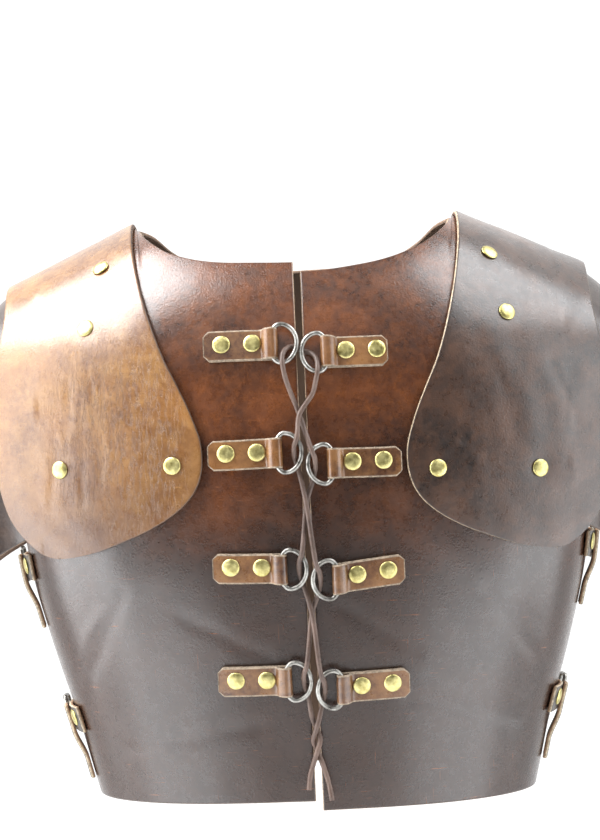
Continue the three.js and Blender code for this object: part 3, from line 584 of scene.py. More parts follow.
# middle of the wrinkled place on the wearer's right plate, in m
WRINKLED_X, WRINKLED_Z = -0.128, -0.145


def leather(name, dark, base, light, raw, mottle=0.5, rough=0.36, coat=0.35, grain=1.0, crackle=0.0,
            flesh=(0.36, 0.21, 0.12), low_dye_and_shade=None):
    """Glazed vegetable-tanned leather: antiqued colour, grain, scuffs, burnished and raw edges, and a
    darkening towards the bottom that is partly dye and partly painted shade.
    """
    n = Nodes(name)
    broad = n.noise(11, 3, 0.55, distortion=0.6)
    patches = n.noise(42, 6, 0.65, distortion=0.4)
    fine = n.noise(260, 5, 0.7)
    colour = n.mix(n.between(broad, 0.36, 0.66), dark, base)
    colour = n.mix(n.math("MULTIPLY", n.between(patches, 0.45, 0.72), mottle), colour, light)
    colour = n.mix(n.math("MULTIPLY", n.between(patches, 0.52, 0.3), mottle * 0.8), colour, dark)
    colour = n.mix(n.math("MULTIPLY", n.between(fine, 0.4, 0.75), 0.3), colour, light)
    # darker towards the bottom: partly a darker dye, partly painted shade of a light from above falling off
    # downward
    if low_dye_and_shade:
        up = n.math("ADD", n.part("Z"), n.math("MULTIPLY", n.math("SUBTRACT", broad, 0.5), 0.12))
        colour = n.mix(n.between(up, -0.13, -0.25, 0.0, 0.88), colour, low_dye_and_shade)
    pores = n.cells(1500)
    colour = n.mix(n.math("MULTIPLY", n.between(pores, 0.35, 0.1), 0.22), colour, dark)
    scuff = n.between(n.noise(1.0, 4, 0.6, n.stretched((55, 55, 700), (0.3, 0.5, 0.4))), 0.66, 0.74)
    scuff2 = n.between(n.noise(1.0, 4, 0.6, n.stretched((650, 60, 45), (0.2, 0.1, 0.9))), 0.68, 0.76)
    scuffs = n.math("MULTIPLY", n.math("MAXIMUM", scuff, scuff2), n.between(broad, 0.4, 0.6, 0.15, 0.6))
    colour = n.mix(scuffs, colour, light)
    wear = n.attribute("wear")
    worn = n.math("MULTIPLY", n.between(wear, 0.45, 0.95), n.between(patches, 0.35, 0.62))
    colour = n.mix(n.math("MULTIPLY", worn, 0.55), colour, tuple(c * 0.35 for c in dark))
    rim = n.attribute("rim")
    raw_edge = n.mix(n.between(n.noise(420, 4, 0.7), 0.42, 0.62), raw, tuple(c * 0.45 for c in raw))
    colour = n.mix(n.between(rim, 0.35, 0.75), colour, raw_edge)
    inside = n.attribute("inside")
    suede = n.mix(n.noise(600, 6, 0.8), tuple(c * 0.6 for c in flesh), flesh)
    colour = n.mix(n.between(inside, 0.4, 0.6), colour, suede)
    layers = [
        (patches, 0.0008, 0.25),
        (n.cells(820, "SMOOTH_F1"), 0.00022, 0.45 * grain),
        (n.noise(1900, 4, 0.7), 0.00015, 0.35 * grain),
        (scuffs, 0.00012, 0.4),
    ]
    if crackle:
        upright = n.noise(1.0, 5, 0.6, n.stretched((330, 330, 60)))
        lines = n.between(n.math("ABSOLUTE", n.math("SUBTRACT", upright, 0.5)), 0.0, 0.035, 1.0, 0.0)
        across = n.math("ABSOLUTE", n.math("SUBTRACT", n.part("X"), WRINKLED_X))
        along = n.math("ABSOLUTE", n.math("SUBTRACT", n.part("Z"), WRINKLED_Z))
        lines = n.math("MULTIPLY", lines, n.math(
            "MULTIPLY", n.between(across, 0.015, 0.055, 1.0, 0.0), n.between(along, 0.03, 0.075, 1.0, 0.0)))
        colour = n.mix(n.math("MULTIPLY", lines, 0.45 * crackle), colour, dark)
        layers.append((n.math("SUBTRACT", 1.0, lines), 0.0006, 0.7 * crackle))
    roughness = n.between(n.noise(150, 5, 0.7), 0.3, 0.75, rough - 0.08, rough + 0.14)
    roughness = n.math("ADD", roughness, n.math("MULTIPLY", n.math("MAXIMUM", inside, rim), 0.4))
    n.set(Base_Color=colour, Roughness=roughness, IOR=1.48, Specular_IOR_Level=0.5)
    glaze = n.math("SUBTRACT", 1.0, n.math("MAXIMUM", inside, rim))
    n.set(Coat_Weight=n.math("MULTIPLY", glaze, coat), Coat_Roughness=0.26)
    n.bump(layers)
    return n.material


def metal(name, dark, light, rough, patina, scratch=0.5):
    """Worn metal: tarnish in patches, fine scratches, brighter where rubbed."""
    n = Nodes(name)
    patches = n.noise(240, 5, 0.65)
    fine = n.noise(1400, 4, 0.7)
    colour = n.mix(n.between(patches, 0.35, 0.65), dark, light)
    colour = n.mix(n.math("MULTIPLY", n.between(fine, 0.5, 0.72), 0.5), colour, patina)
    lines = n.noise(1.0, 3, 0.6, n.stretched((400, 400, 5200), (0.5, 0.3, 0.8)))
    roughness = n.between(patches, 0.3, 0.7, rough, rough + 0.22)
    n.set(Base_Color=colour, Metallic=1.0, Roughness=roughness)
    n.bump([(fine, 0.0001, 0.3), (lines, 0.00008, scratch)])
    return n.material


# the colour given last to the chest, back and tan plate leathers darkens them towards the bottom: partly
# dye, partly painted shade
CHEST = leather("chest_leather", (0.034, 0.0115, 0.0055), (0.096, 0.028, 0.009), (0.27, 0.085, 0.022),
                (0.46, 0.32, 0.2), mottle=0.34, rough=0.27, coat=0.6, grain=1.4, flesh=(0.15, 0.09, 0.055),
                low_dye_and_shade=(0.017, 0.009, 0.0065))
BACKS = leather("back_leather", (0.02, 0.007, 0.004), (0.085, 0.024, 0.0085), (0.2, 0.065, 0.021),
                (0.24, 0.14, 0.08), mottle=0.4, rough=0.3, coat=0.5, grain=1.3, flesh=(0.12, 0.07, 0.042),
                low_dye_and_shade=(0.022, 0.011, 0.008))
TAN_PLATE = leather("tan_plate_leather", (0.1, 0.036, 0.011), (0.26, 0.112, 0.03), (0.45, 0.25, 0.09),
                    (0.07, 0.035, 0.02), mottle=0.4, rough=0.28, coat=0.6, crackle=0.9,
                    flesh=(0.16, 0.09, 0.05), low_dye_and_shade=(0.07, 0.028, 0.0105))
DARK_PLATE = leather("dark_plate_leather", (0.017, 0.011, 0.009), (0.048, 0.025, 0.017), (0.13, 0.06, 0.033),
                     (0.46, 0.35, 0.23), mottle=0.45, rough=0.3, coat=0.55, flesh=(0.14, 0.08, 0.05))
LAME = leather("lame_leather", (0.016, 0.01, 0.008), (0.05, 0.03, 0.023), (0.12, 0.08, 0.06),
               (0.2, 0.13, 0.085), mottle=0.4, rough=0.34, coat=0.4, flesh=(0.12, 0.07, 0.045))
TAB = leather("tab_leather", (0.05, 0.018, 0.009), (0.19, 0.08, 0.024), (0.38, 0.19, 0.07),
              (0.32, 0.245, 0.175), mottle=0.45, rough=0.3, coat=0.5, grain=0.6)
STRAP = leather("strap_leather", (0.01, 0.008, 0.008), (0.025, 0.018, 0.017), (0.08, 0.06, 0.05),
                (0.5, 0.4, 0.28), mottle=0.3, rough=0.34, coat=0.4)
THONG = leather("thong_leather", (0.045, 0.025, 0.018), (0.1, 0.058, 0.042), (0.21, 0.14, 0.11),
                (0.3, 0.2, 0.15), mottle=0.5, rough=0.5, coat=0.1, grain=0.5)
BRASS = metal("worn_brass", (0.36, 0.3, 0.1), (0.7, 0.63, 0.29), 0.3, (0.48, 0.43, 0.19))
STEEL = metal("worn_steel", (0.18, 0.17, 0.155), (0.48, 0.47, 0.44), 0.26, (0.28, 0.24, 0.19), 0.3)


def finish(obj, material, slot, *nodes):
    obj.data.materials.clear()
    obj.data.materials.append(material)
    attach(obj, "root")
    if nodes:
        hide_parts(*nodes)
    return obj


# ---------------------------------------------------------------- lace, first of the pieces
def body_point(side, x, z, face="front", plate=False):
    level = level_at(np.float64(x), np.float64(z))
    if plate:
        return form(side, x, level, face, plate_depth, PLATE_LIFT)
    return form(side, x, level, face)


def seat(side, x, z, face="front", plate=False):
    """A place on a panel or a plate: its point, outward normal and upward direction."""
    here = body_point(side, x, z, face, plate)
    level = level_at(np.float64(x), np.float64(z))
    extra = (plate_depth, PLATE_LIFT) if plate else (body_depth, 0.0)
    across = (form(side, x + 0.5, level, face, *extra) - here) * side
    up = body_point(side, x, z + 0.5, face, plate) - here
    out = np.cross(across, up)
    out /= np.linalg.norm(out)
    if out[1] * here[1] < 0:
        out = -out
    return here, out, up / np.linalg.norm(up)


LACE_RADIUS = 1.7
OVER, UNDER, CROSS_OVER = 10.5, 2.35, 6.6
# over a ring, down through it and away under it: distance from the middle, way up from the
# ring's middle, height over the panel
LACE_PASS = [(4.5, 10.5, OVER), (6.6, 4.5, 8.4), (6.9, -1, 5.4), (6.2, -5.5, 3), (4.6, -11, UNDER)]


def front_at(z):
    return -body_point(-1, GAP_HALF, z)[1]


def lace_half(first_side, start, crossings, end):
    """Half of the lace from the top rings down: x, z, and height over the panels."""
    points = list(start)
    for k in range(1, 4):
        side = first_side * (-1 if k % 2 == 1 else 1)
        z = body_point(side, RING_X, RING_ROWS[k][side][0])[2]
        points.append(crossings[k - 1])
        points += [(side * x, z + up, height) for x, up, height in LACE_PASS]
    return points + list(end)


LACE_RIGHT = lace_half(
    -1,
    [(-2.6, -92.6, 1.9), (-6.4, -92, 3.4), (-9.9, -93.8, 6.4), (-11.9, -98, 9), (-12, -103.4, 10.3),
     (-11.2, -109.4, 9.8), (-9.6, -116, 8)],
    [(-2.3, -137.5, UNDER), (-0.2, -197, UNDER), (0.4, -270.5, CROSS_OVER)],
    [(2.5, -341, 4.9), (0, -348.8, 7.1), (-2.3, -356.4, 4.7), (0, -364, 2.4), (2.6, -371.6, 4),
     (6.2, -384, 5.4), (8.6, -398, 8)],
)
LACE_LEFT = lace_half(
    1,
    [(2.6, -95.4, 1.9), (7, -96.6, 3.1), (10.3, -100, 5.8), (11.2, -105.2, 8.8), (10.6, -110.8, 10.3),
     (9.1, -117, 9), (7.2, -123.5, 6.9)],
    [(-2.3, -137.5, CROSS_OVER), (-0.2, -197, CROSS_OVER), (0.4, -270.5, UNDER)],
    [(-2.5, -341, 4.5), (0, -348.8, 2.4), (2.3, -356.4, 4.7), (0, -364, 7), (-2.6, -371.6, 5.6),
     (-5.4, -381, 5.6), (-6.8, -390.5, 7.2)],
)


def lace_route():
    route = []
    for x, z, height in LACE_RIGHT[::-1] + LACE_LEFT:
        slid = SLIDE * smooth((x + GAP_HALF) / (2 * GAP_HALF))
        route.append((x, -front_at(z + slid) - height, z))
    return np.array(route)


def centripetal(points, steps):
    """A smooth curve through points, evenly spaced knots by the root of each span."""
    ends = np.vstack([2 * points[0] - points[1], points, 2 * points[-1] - points[-2]])
    out = []
    for i in range(1, len(ends) - 2):
        p0, p1, p2, p3 = ends[i - 1], ends[i], ends[i + 1], ends[i + 2]
        t1 = np.linalg.norm(p1 - p0) ** 0.5
        t2 = t1 + np.linalg.norm(p2 - p1) ** 0.5
        t3 = t2 + np.linalg.norm(p3 - p2) ** 0.5
        for t in np.linspace(t1, t2, steps, endpoint=False):
            a1 = p0 * (t1 - t) / t1 + p1 * t / t1
            a2 = p1 * (t2 - t) / (t2 - t1) + p2 * (t - t1) / (t2 - t1)
            a3 = p2 * (t3 - t) / (t3 - t2) + p3 * (t - t2) / (t3 - t2)
            b1 = a1 * (t2 - t) / t2 + a2 * t / t2
            b2 = a2 * (t3 - t) / (t3 - t1) + a3 * (t - t1) / (t3 - t1)
            out.append(b1 * (t2 - t) / (t2 - t1) + b2 * (t - t1) / (t2 - t1))
    out.append(points[-1])
    return np.array(out)


def sweep_round(name, path, radius, sides=12, closed=False, wobble=0.0):
    """A round rod along a path, with a frame carried along it without twist."""
    count = len(path)
    tangent = (np.roll(path, -1, 0) - np.roll(path, 1, 0)) if closed else np.gradient(path, axis=0)
    tangent /= np.linalg.norm(tangent, axis=1, keepdims=True)
    normal = np.cross(tangent[0], [0.0, 0.3, 1.0])
    normal /= np.linalg.norm(normal)
    angles = np.arange(sides) * 2 * math.pi / sides
    points = []
    for i in range(count):
        normal = normal - tangent[i] * np.dot(normal, tangent[i])
        normal /= np.linalg.norm(normal)
        other = np.cross(tangent[i], normal)
        r = radius * (1 + wobble * math.sin(i * 0.7) * math.sin(i * 0.23 + 1))
        for angle in angles:
            points.append(path[i] + r * (normal * math.cos(angle) + other * math.sin(angle)))
    faces = []
    for i in range(count if closed else count - 1):
        j = (i + 1) % count
        for k in range(sides):
            m = (k + 1) % sides
            faces.append((i * sides + k, i * sides + m, j * sides + m, j * sides + k))
    if not closed:
        faces.append(tuple(reversed(range(sides))))
        faces.append(tuple((count - 1) * sides + k for k in range(sides)))
    return make_mesh(name, points, faces)


lace_path = centripetal(lace_route(), 8)
lace = sweep_round("lace_thong", lace_path, LACE_RADIUS, 12, wobble=0.05)
bare = np.zeros(len(lace.data.vertices))
put_attributes(lace, rim=bare, wear=bare, inside=bare)
finish(lace, THONG, "lace_leather", "lace")

# ---------------------------------------------------------------- panels
LEFT_MARKS = [
    # creases of the wearer's left front
    (30, -150, 62, -204, 3.0, -0.35),
    (22, -268, 70, -300, 4.0, -0.4),
    (120, -262, 168, -330, 5.0, -0.55),
    (140, -250, 176, -300, 4.0, 0.4),
    (64, -330, 140, -352, 5.0, -0.45),
]
RIGHT_MARKS = [
    # creases of the wearer's right front
    (-26, -130, -60, -186, 3.0, -0.3),
    (-30, -300, -88, -270, 4.0, -0.4),
    (-128, -256, -160, -322, 5.0, -0.5),
    (-146, -270, -176, -318, 4.0, 0.4),
    (-40, -346, -130, -362, 5.0, -0.45),
]
BACK_MARKS = [
    (-96, -250, -150, -318, 5.0, -0.5),
    (104, -244, 158, -326, 5.5, -0.55),
    (-30, -60, -76, -96, 5.0, -0.4),
    (36, -66, 84, -92, 4.5, -0.4),
    (-20, -330, 60, -344, 6.0, -0.45),
]


def rivet_spots(side, face="front"):
    return [seat(side, *spot[side], face, True)[0] for spot in PLATE_RIVETS.values()]


def front_panel(side, name, marks):
    us = edge_shares(92, 215)
    vs = edge_shares(126, 440)
    points = panel_grid(side, "front", GAP_HALF, FRONT_NECK, us, vs)
    relief = 0.35 * waves(points, 120, 11 + side) + 0.12 * waves(points, 34, 21 + side)
    relief += troughs(points, "front", marks)
    curl = np.exp(-(np.abs(points[..., 0]) - GAP_HALF) / 7.0)
    relief += curl * (0.25 + 0.3 * np.sin(points[..., 2] / 23.0 + side))
    seated = np.exp(-((np.abs(points[..., 0]) - 40) / 30) ** 2)
    relief -= 0.2 * seated
    fade = smooth((np.abs(points[..., 1] - RIDGE_Y) - 4) / 20)
    relief = np.clip(relief * fade, -0.9, 0.15)
    return finish(wall(name, points, -LEATHER, 0, relief), CHEST, "body_leather", name.replace("_shell", ""))


front_right = front_panel(-1, "front_right_shell", RIGHT_MARKS)
front_left = front_panel(1, "front_left_shell", LEFT_MARKS)

half_us = edge_shares(72, 215)[6:]
half_us = np.concatenate([[0.0], half_us])
back_vs = edge_shares(120, 430)
left_half = panel_grid(1, "back", 0.0, BACK_NECK, half_us, back_vs)
right_half = panel_grid(-1, "back", 0.0, BACK_NECK, half_us, back_vs)
back_points = np.concatenate([right_half[:, :0:-1], left_half], axis=1)
back_relief = 0.4 * waves(back_points, 130, 31) + 0.12 * waves(back_points, 36, 32)
back_relief += troughs(back_points, "back", BACK_MARKS)
back_fade = smooth((np.abs(back_points[..., 1] - RIDGE_Y) - 4) / 20)
back_relief = np.clip(back_relief * back_fade, -0.9, 0.15)
back = finish(wall("back_shell", back_points, -LEATHER, 0, back_relief), BACKS, "body_leather", "back")

# ---------------------------------------------------------------- shoulder plates
TAN_MARKS = [
    # vertical wrinkles of the wearer's right plate
    (-141, -112, -138, -150, 1.5, -0.4),
    (-134, -118, -136, -172, 1.7, -0.45),
    (-128, -132, -125, -160, 1.5, -0.35),
    (-148, -140, -150, -186, 1.8, -0.4),
    (-120, -146, -118, -182, 1.6, -0.3),
    (-156, -112, -160, -146, 1.8, -0.35),
    (-112, -168, -104, -190, 2.2, -0.35),
    (-168, -150, -172, -190, 2.6, -0.4),
    (-150, -60, -176, -72, 3.0, -0.3),
]
DARK_MARKS = [
    (128, -64, 150, -50, 2.2, -0.35),
    (120, -92, 134, -122, 2.2, -0.3),
    (170, -110, 186, -150, 3.0, -0.35),
    (98, -150, 120, -170, 2.5, -0.3),
    (150, -190, 176, -204, 3.0, -0.35),
]
PLATE_BACK_MARKS = [
    (-130, -110, -134, -168, 2.0, -0.4),
    (-158, -96, -166, -150, 2.6, -0.4),
    (124, -112, 130, -164, 2.2, -0.35),
    (156, -130, 170, -176, 2.8, -0.4),
]


def plate(side, name, material, marks):
    us = edge_shares(62, 130)
    vs = edge_shares(150, 520)
    points = plate_grid(side, us, vs)
    relief = 0.35 * waves(points, 95, 41 + side) + 0.14 * waves(points, 26, 51 + side)
    relief += troughs(points, "front", marks) + troughs(points, "back", PLATE_BACK_MARKS)
    spots = [s for face in ("front", "back") for s in rivet_spots(side, face)]
    relief += 0.35 * waves(points, 40, 61) * (np.abs(points[..., 0]) > 180)
    relief = np.clip(relief, -0.25, 0.6)
    relief += dimples(points, spots, 0.5, 9.0)
    flat = np.minimum.reduce([np.linalg.norm(points - s, axis=-1) for s in spots])
    relief = np.where(flat < 9, np.minimum(relief, 0.1), relief)
    return finish(wall(name, points, 0, LEATHER, relief, 1.1), material, "plate_leather",
                  name.replace("_shell", ""))


plate_right = plate(-1, "shoulder_plate_right_shell", TAN_PLATE, TAN_MARKS)
plate_left = plate(1, "shoulder_plate_left_shell", DARK_PLATE, DARK_MARKS)

# ---------------------------------------------------------------- arm lames
for word, side in (("right", -1), ("left", 1)):
    for number in (1, 2):
        us = edge_shares(20, 60)
        vs = edge_shares(130, 480)
        points = lame_grid(side, number, us, vs)
        relief = np.clip(0.3 * waves(points, 60, 70 + number + side), -0.35, 0.1)
        name = f"arm_lame_{word}_{number}"
        shell = wall(name + "_shell", points, -LAME_LEATHER, 0, relief)
        finish(shell, LAME, "lame_leather", name)


# ---------------------------------------------------------------- rivets
def lathe(profile, sides):
    """A turned piece, its axis along +Z."""
    angles = np.arange(sides) * 2 * math.pi / sides
    points = [(0.0, 0.0, profile[0][1])]
    rings = []
    for r, h in profile[1:-1]:
        rings.append(len(points))
        points += [(r * math.cos(a), r * math.sin(a), h) for a in angles]
    points.append((0.0, 0.0, profile[-1][1]))
    faces = []
    for k in range(sides):
        m = (k + 1) % sides
        faces.append((0, rings[0] + m, rings[0] + k))
        for low, high in zip(rings, rings[1:]):
            faces.append((low + k, low + m, high + m, high + k))
        faces.append((len(points) - 1, rings[-1] + k, rings[-1] + m))
    return np.array(points, float), faces


# radius, height
RIVET_PROFILE = [
    (0, 0), (5.3, 0), (5.85, 0.12), (6, 0.42), (5.86, 0.74), (5.4, 1.06), (4.6, 1.36), (3.6, 1.58),
    (2.5, 1.73), (1.4, 1.82), (0.6, 1.85), (0, 1.86),
]


def rivet(name, here, out, lift, number, node=None):
    points, faces = lathe(RIVET_PROFILE, 36)
    rng = np.random.default_rng(number)
    tilt = rng.uniform(-0.02, 0.02, 2)
    dent = 1 - 0.05 * np.exp(-np.sum((points[:, :2] - rng.uniform(-3, 3, 2)) ** 2, 1) / 4)
    points[:, 2] *= dent
    points[:, 2] += (points[:, :2] @ tilt) * (points[:, 2] > 0.05)
    turn = np.array(Vector((0, 0, 1)).rotation_difference(Vector(out)).to_matrix())
    placed = points @ turn.T + here + out * lift
    obj = make_mesh(name, placed, faces)
    return finish(obj, BRASS, "rivet_brass", *([node] if node else []))


number = 100
for word, side in (("right", -1), ("left", 1)):
    for face in ("front", "back"):
        for spot, places in PLATE_RIVETS.items():
            number += 1
            here, out, _ = seat(side, *places[side], face, True)
            node = f"plate_rivet_{word}_{face}_{spot}"
            rivet(f"cap_{word}_{face}_{spot}", here, out, LEATHER + 0.02, number, node)


# ---------------------------------------------------------------- tabs and rings
def fold_path(end):
    """Middle line of the folded strap, side view: distance from the middle, height over the panel."""
    t = TAB_LEATHER
    low = TAB_SEAT + t / 2
    stitched = TAB_SEAT + 1.5 * t
    hump = TAB_SEAT + TAB_EYE + 1.5 * t
    radius = (hump - low) / 2
    centre = (TAB_FOLD + t / 2 + radius * 0.62, (hump + low) / 2)
    line = [(end, low), (54, low), (43, low), (34, low), (29, low), (centre[0] + 1.5, low)]
    for angle in np.linspace(-90, -270, 13):
        a = math.radians(angle)
        line.append((centre[0] + radius * 0.62 * math.cos(a), centre[1] + radius * math.sin(a)))
    line += [(19.6, hump - 0.1), (21.6, hump - 0.8), (23.2, hump - 2.4), (24.5, stitched + 0.7),
             (26, stitched), (34, stitched), (43, stitched), (54, stitched), (end - 0.4, stitched)]
    return np.array(line, float)


def densify(line, step):
    """The line as a smooth curve with points a step apart."""
    curve = centripetal(np.column_stack([line, np.zeros(len(line))]), 10)[:, :2]
    length = np.concatenate([[0], np.cumsum(np.linalg.norm(np.diff(curve, axis=0), axis=1))])
    count = int(length[-1] / step)
    at = np.linspace(0, length[-1], count)
    return np.column_stack([np.interp(at, length, curve[:, 0]), np.interp(at, length, curve[:, 1])])


def tab_section():
    """Round the strap's cross-section: across, through, and 1 on its cut edges."""
    r = TAB_EDGE_ROUND
    across, through = TAB_HALF - r, TAB_LEATHER / 2 - r

    def edge(way, degrees):
        turn = math.radians(degrees)
        upward = math.sin(turn)
        above = degrees > 0 if way > 0 else degrees < 180
        return way * across + r * math.cos(turn), (through if above else -through) + r * upward, 1.0

    steps = np.linspace(across - 0.8, -across + 0.8, 12)
    section = [edge(1, a) for a in np.linspace(-90, 90, 7)]
    section += [(s, TAB_LEATHER / 2, 0.0) for s in steps]
    section += [edge(-1, a) for a in np.linspace(90, 270, 7)]
    section += [(-s, -TAB_LEATHER / 2, 0.0) for s in steps]
    return section


def tab(side, k):
    word = "right" if side < 0 else "left"
    z0, tilt, inset, short = RING_ROWS[k][side]
    tilt = math.radians(tilt)
    end = TAB_END - short
    line = densify(fold_path(end), 1.25)
    count = len(line)
    tangent = np.gradient(line, axis=0)
    tangent /= np.linalg.norm(tangent, axis=1, keepdims=True)
    across = np.column_stack([tangent[:, 1], -tangent[:, 0]])
    section = tab_section()
    rng = np.random.default_rng(300 + 10 * k + side)
    lean = rng.uniform(-0.35, 0.35)
    points = []
    rim = []
    for i in range(count):
        x, h = line[i]
        cut = TAB_CHAMFER * np.clip((x - (end - TAB_CHAMFER)) / TAB_CHAMFER, 0, 1)
        narrow = 1 - cut / TAB_HALF
        for s, offset, edge in section:
            px = x + across[i][0] * offset
            ph = h + across[i][1] * offset
            drop = s * narrow + lean * math.sin(x / 11.0)
            z = z0 - drop * math.cos(tilt) + (px - TAB_FOLD) * math.sin(tilt)
            here, out, _ = seat(side, px - inset, z)
            points.append(here + out * max(ph, 0.2))
            rim.append(max(edge, 1.0 if i in (0, count - 1) else 0.0))
    m = len(section)
    faces = []
    for i in range(count - 1):
        for j in range(m):
            n = (j + 1) % m
            faces.append((i * m + j, i * m + n, (i + 1) * m + n, (i + 1) * m + j))
    faces.append(tuple(range(m)))
    faces.append(tuple((count - 1) * m + j for j in reversed(range(m))))
    if side > 0:
        faces = [f[::-1] for f in faces]
    obj = make_mesh(f"tab_{word}_{k + 1}", points, faces)
    rim = np.array(rim)
    put_attributes(obj, rim=rim, wear=rim * 0.6, inside=np.zeros(len(points)))
    finish(obj, TAB, "tab_leather", f"ring_tab_{word}_{k + 1}")
    for j, x in enumerate(TAB_RIVETS):
        z = z0 + 1 + (x - TAB_FOLD) * math.sin(tilt)
        here, out, _ = seat(side, x - inset, z)
        name = f"tab_cap_{word}_{k + 1}_{j + 1}"
        rivet(name, here, out, TAB_SEAT + 2 * TAB_LEATHER, 400 + 10 * k + j + side)
    return obj


def ring(side, k):
    word = "right" if side < 0 else "left"
    z0, _, inset, _ = RING_ROWS[k][side]
    here, out, up = seat(side, RING_X - inset, z0)
    e1 = np.array([-side, 0, 0]) + out * RING_RISE_INWARD
    e1 /= np.linalg.norm(e1)
    e3 = np.cross(e1, up)
    e3 /= np.linalg.norm(e3)
    e2 = np.cross(e3, e1)
    angles = np.arange(72) * 2 * math.pi / 72
    bent = 0.15 * np.sin(2 * angles + k)
    half = np.where(np.cos(angles) > 0, RING_HALF[0], RING_HIDDEN_HALF)
    path = here + out * RING_RISE + np.outer(np.cos(angles) * (half + bent), e1)
    path = path + np.outer(np.sin(angles) * RING_HALF[1], e2)
    obj = sweep_round(f"ring_{word}_{k + 1}", path, RING_WIRE, 16, closed=True)
    return finish(obj, STEEL, "ring_steel", f"lacing_ring_{word}_{k + 1}")


for side in (-1, 1):
    for k in range(4):
        tab(side, k)
        ring(side, k)


# ---------------------------------------------------------------- side straps
def side_points(side, y, z):
    slid = SLIDE * smooth((20 - y) / 40) if side > 0 else 0 * y
    section = row_at(BODY, z + slid)
    depth = np.where(y < 0, section[..., 1], section[..., 2])
    return np.stack([side * section[..., 0] * share(y, depth), y, z], -1)


def side_strap(word, side, place, z0):
    us = edge_shares(50, 110)
    vs = edge_shares(8, 18, (0.25, 0.7, 1.3))
    u, v = np.meshgrid(us, vs)
    y = -STRAP_FRONT + (STRAP_FRONT + STRAP_BACK) * u
    points = side_points(side, y, z0 + STRAP_HALF * (2 * v - 1))
    relief = np.clip(0.15 * waves(points, 40, 80), -0.2, 0.1)
    strap = wall(f"strap_{word}_{place}", points, STRAP_SEAT, STRAP_SEAT + STRAP_LEATHER, relief, 0.9)
    finish(strap, STRAP, "strap_leather", f"side_strap_{word}_{place}")
    normal = grid_normals(points)
    for j, s in enumerate(STRAP_RIVETS):
        at = (len(vs) // 2, int(np.argmin(np.abs(us - s))))
        lift = STRAP_SEAT + STRAP_LEATHER - 0.05
        rivet(f"strap_cap_{word}_{place}_{j + 1}", points[at], normal[at], lift, 500 + j)


def strap_end(word, side, place, z0):
    """The strap's free end, down from the buckle and in to the side."""
    us = edge_shares(10, 17, (0.25, 0.7, 1.3))
    vs = edge_shares(40, STRAP_END_LENGTH, (0.25, 0.7, 1.3))
    u, v = np.meshgrid(us, vs)
    z = z0 + STRAP_HALF - 1 - v * STRAP_END_LENGTH
    points = side_points(side, STRAP_END_Y + STRAP_END_HALF * (2 * u - 1), z)
    falling = smooth((z0 - STRAP_HALF - 2 - z) / 20)
    points[..., 0] += side * (0.4 + OVER_STRAP + (STRAP_SEAT - OVER_STRAP) * falling)
    end = wall(f"end_{word}_{place}", points, 0, STRAP_LEATHER, None, 0.9)
    finish(end, STRAP, "strap_leather", f"strap_end_{word}_{place}")


def side_buckle(word, side, place, z0):
    """A frame of round wire with round corners, lying over the strap."""
    corners = []
    for cx, cz, a0 in ((1, 1, 0), (-1, 1, 90), (-1, -1, 180), (1, -1, 270)):
        for a in np.radians(np.linspace(a0, a0 + 90, 6)):
            along = cx * BUCKLE_HALF[0] + BUCKLE_CORNER * math.cos(a)
            corners.append((along, cz * BUCKLE_HALF[1] + BUCKLE_CORNER * math.sin(a)))
    loop = []
    for (along, up), nxt in zip(corners, corners[1:] + corners[:1]):
        for t in (0, 0.25, 0.5, 0.75):
            a, b = along + (nxt[0] - along) * t, up + (nxt[1] - up) * t
            p = side_points(side, np.float64(BUCKLE_Y + a), np.float64(z0 + b))
            p[0] += side * (OVER_STRAP + BUCKLE_WIRE)
            loop.append(p)
    buckle = sweep_round(f"buckle_{word}_{place}", np.array(loop), BUCKLE_WIRE, 12, closed=True)
    finish(buckle, STEEL, "ring_steel", f"side_buckle_{word}_{place}")


for word, side in (("right", -1), ("left", 1)):
    for place, z0 in STRAP_ROWS.items():
        side_strap(word, side, place, z0)
        strap_end(word, side, place, z0)
        side_buckle(word, side, place, z0)

# ---------------------------------------------------------------- floor and light
floor_mesh = bpy.data.meshes.new("floor")
floor_mesh.from_pydata([(-6, -4, 0), (6, -4, 0), (6, 8, 0), (-6, 8, 0)], [], [(0, 1, 2, 3)])
FLOOR_DROP = 1.25
floor = bpy.data.objects.new("floor", floor_mesh)
floor.location = (0, 0, -FLOOR_DROP)
bpy.context.scene.collection.objects.link(floor)
plain = Nodes("pale_floor")
depth = plain.put("ShaderNodeSeparateXYZ", Vector=plain.place).outputs["Y"]
plain.set(Base_Color=(0.87, 0.87, 0.87), Roughness=0.8, Emission_Color=(1, 1, 1),
          Emission_Strength=plain.between(depth, 1.5, 4.0, 0.0, 0.5))
floor_mesh.materials.append(plain.material)

world = bpy.data.worlds.new("room")
bpy.context.scene.world = world
world.use_nodes = True
room = world.node_tree
sky = room.nodes["Background"]
way = room.nodes.new("ShaderNodeTexCoord").outputs["Generated"]
parts = room.nodes.new("ShaderNodeSeparateXYZ")
room.links.new(way, parts.inputs[0])


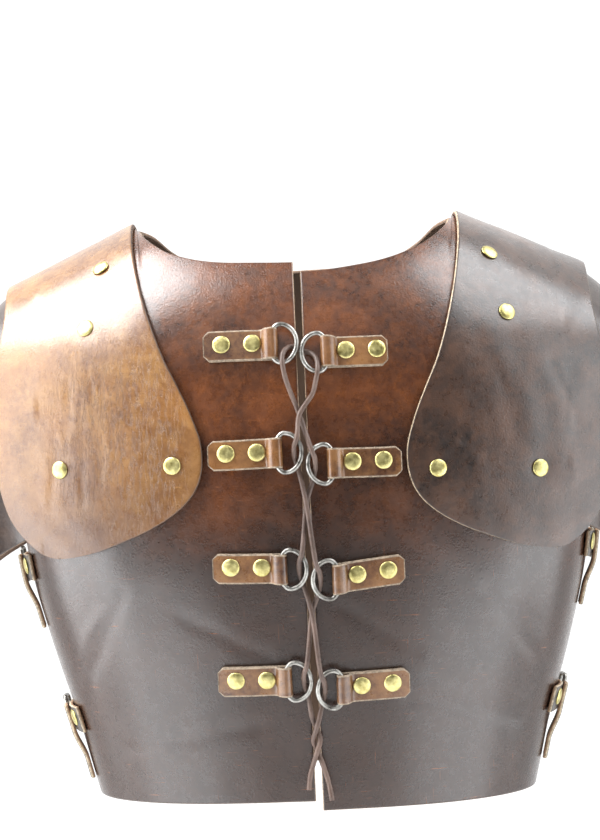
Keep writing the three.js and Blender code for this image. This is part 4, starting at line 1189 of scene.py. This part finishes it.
def sky_step(socket, low, high, amount):
    """Light that comes in smoothly between two values of a direction's part."""
    node = room.nodes.new("ShaderNodeMapRange")
    node.interpolation_type = "SMOOTHSTEP"
    room.links.new(socket, node.inputs["Value"])
    node.inputs["From Min"].default_value = low
    node.inputs["From Max"].default_value = high
    node.inputs["To Max"].default_value = amount
    return node.outputs["Result"]


def sky_sum(a, b):
    node = room.nodes.new("ShaderNodeMath")
    room.links.new(a, node.inputs[0])
    room.links.new(b, node.inputs[1])
    return node.outputs[0]


behind = sky_step(parts.outputs["Y"], 0.3, 0.7, 0.95)
above = sky_step(parts.outputs["Z"], 0.1, 0.8, 0.3)
light = sky_sum(sky_sum(behind, above), sky_step(parts.outputs["Z"], -3.0, -2.0, 0.06))
room.links.new(light, sky.inputs["Strength"])
sky.inputs["Color"].default_value = (1.0, 1.0, 1.0, 1)


def area_light(name, place, target, size, power, colour):
    data = bpy.data.lights.new(name, "AREA")
    data.shape = "RECTANGLE"
    data.size, data.size_y = size
    data.energy = power
    data.color = colour
    light = bpy.data.objects.new(name, data)
    light.location = place
    way = Vector(target) - Vector(place)
    light.rotation_euler = way.to_track_quat("-Z", "Y").to_euler()
    bpy.context.scene.collection.objects.link(light)


# name, place, what it points at, size in m, watts, colour
area_light("window", (-1.75, -0.4, -0.08), (-0.1, 0, -0.15), (1.6, 1.8), 46, (0.96, 0.98, 1))
area_light("window_top", (-1.0, -0.22, 1.12), (-0.1, 0, -0.05), (1.3, 1.1), 62, (0.98, 0.99, 1))
area_light("ceiling", (1.0, -0.25, 1.1), (0.1, 0, -0.05), (1.2, 1.0), 24, (0.96, 0.98, 1))
area_light("wall_right", (1.75, -0.42, -0.12), (0.1, 0, -0.15), (1.5, 1.7), 25, (0.95, 0.98, 1))
area_light("low_left", (-0.96, -1.0, -0.94), (-0.1, -0.1, -0.3), (1.1, 0.6), 5.5, (0.93, 0.97, 1))
area_light("low_right", (1.0, -1.0, -0.92), (0.1, -0.1, -0.3), (1.1, 0.6), 5.5, (0.93, 0.97, 1))
area_light("front", (-0.3, -2.2, 0.9), (0, 0, -0.2), (1.1, 0.5), 2, (1, 0.99, 0.97))

bpy.context.scene.view_settings.view_transform = "Standard"
bpy.context.scene.view_settings.exposure = 0.25
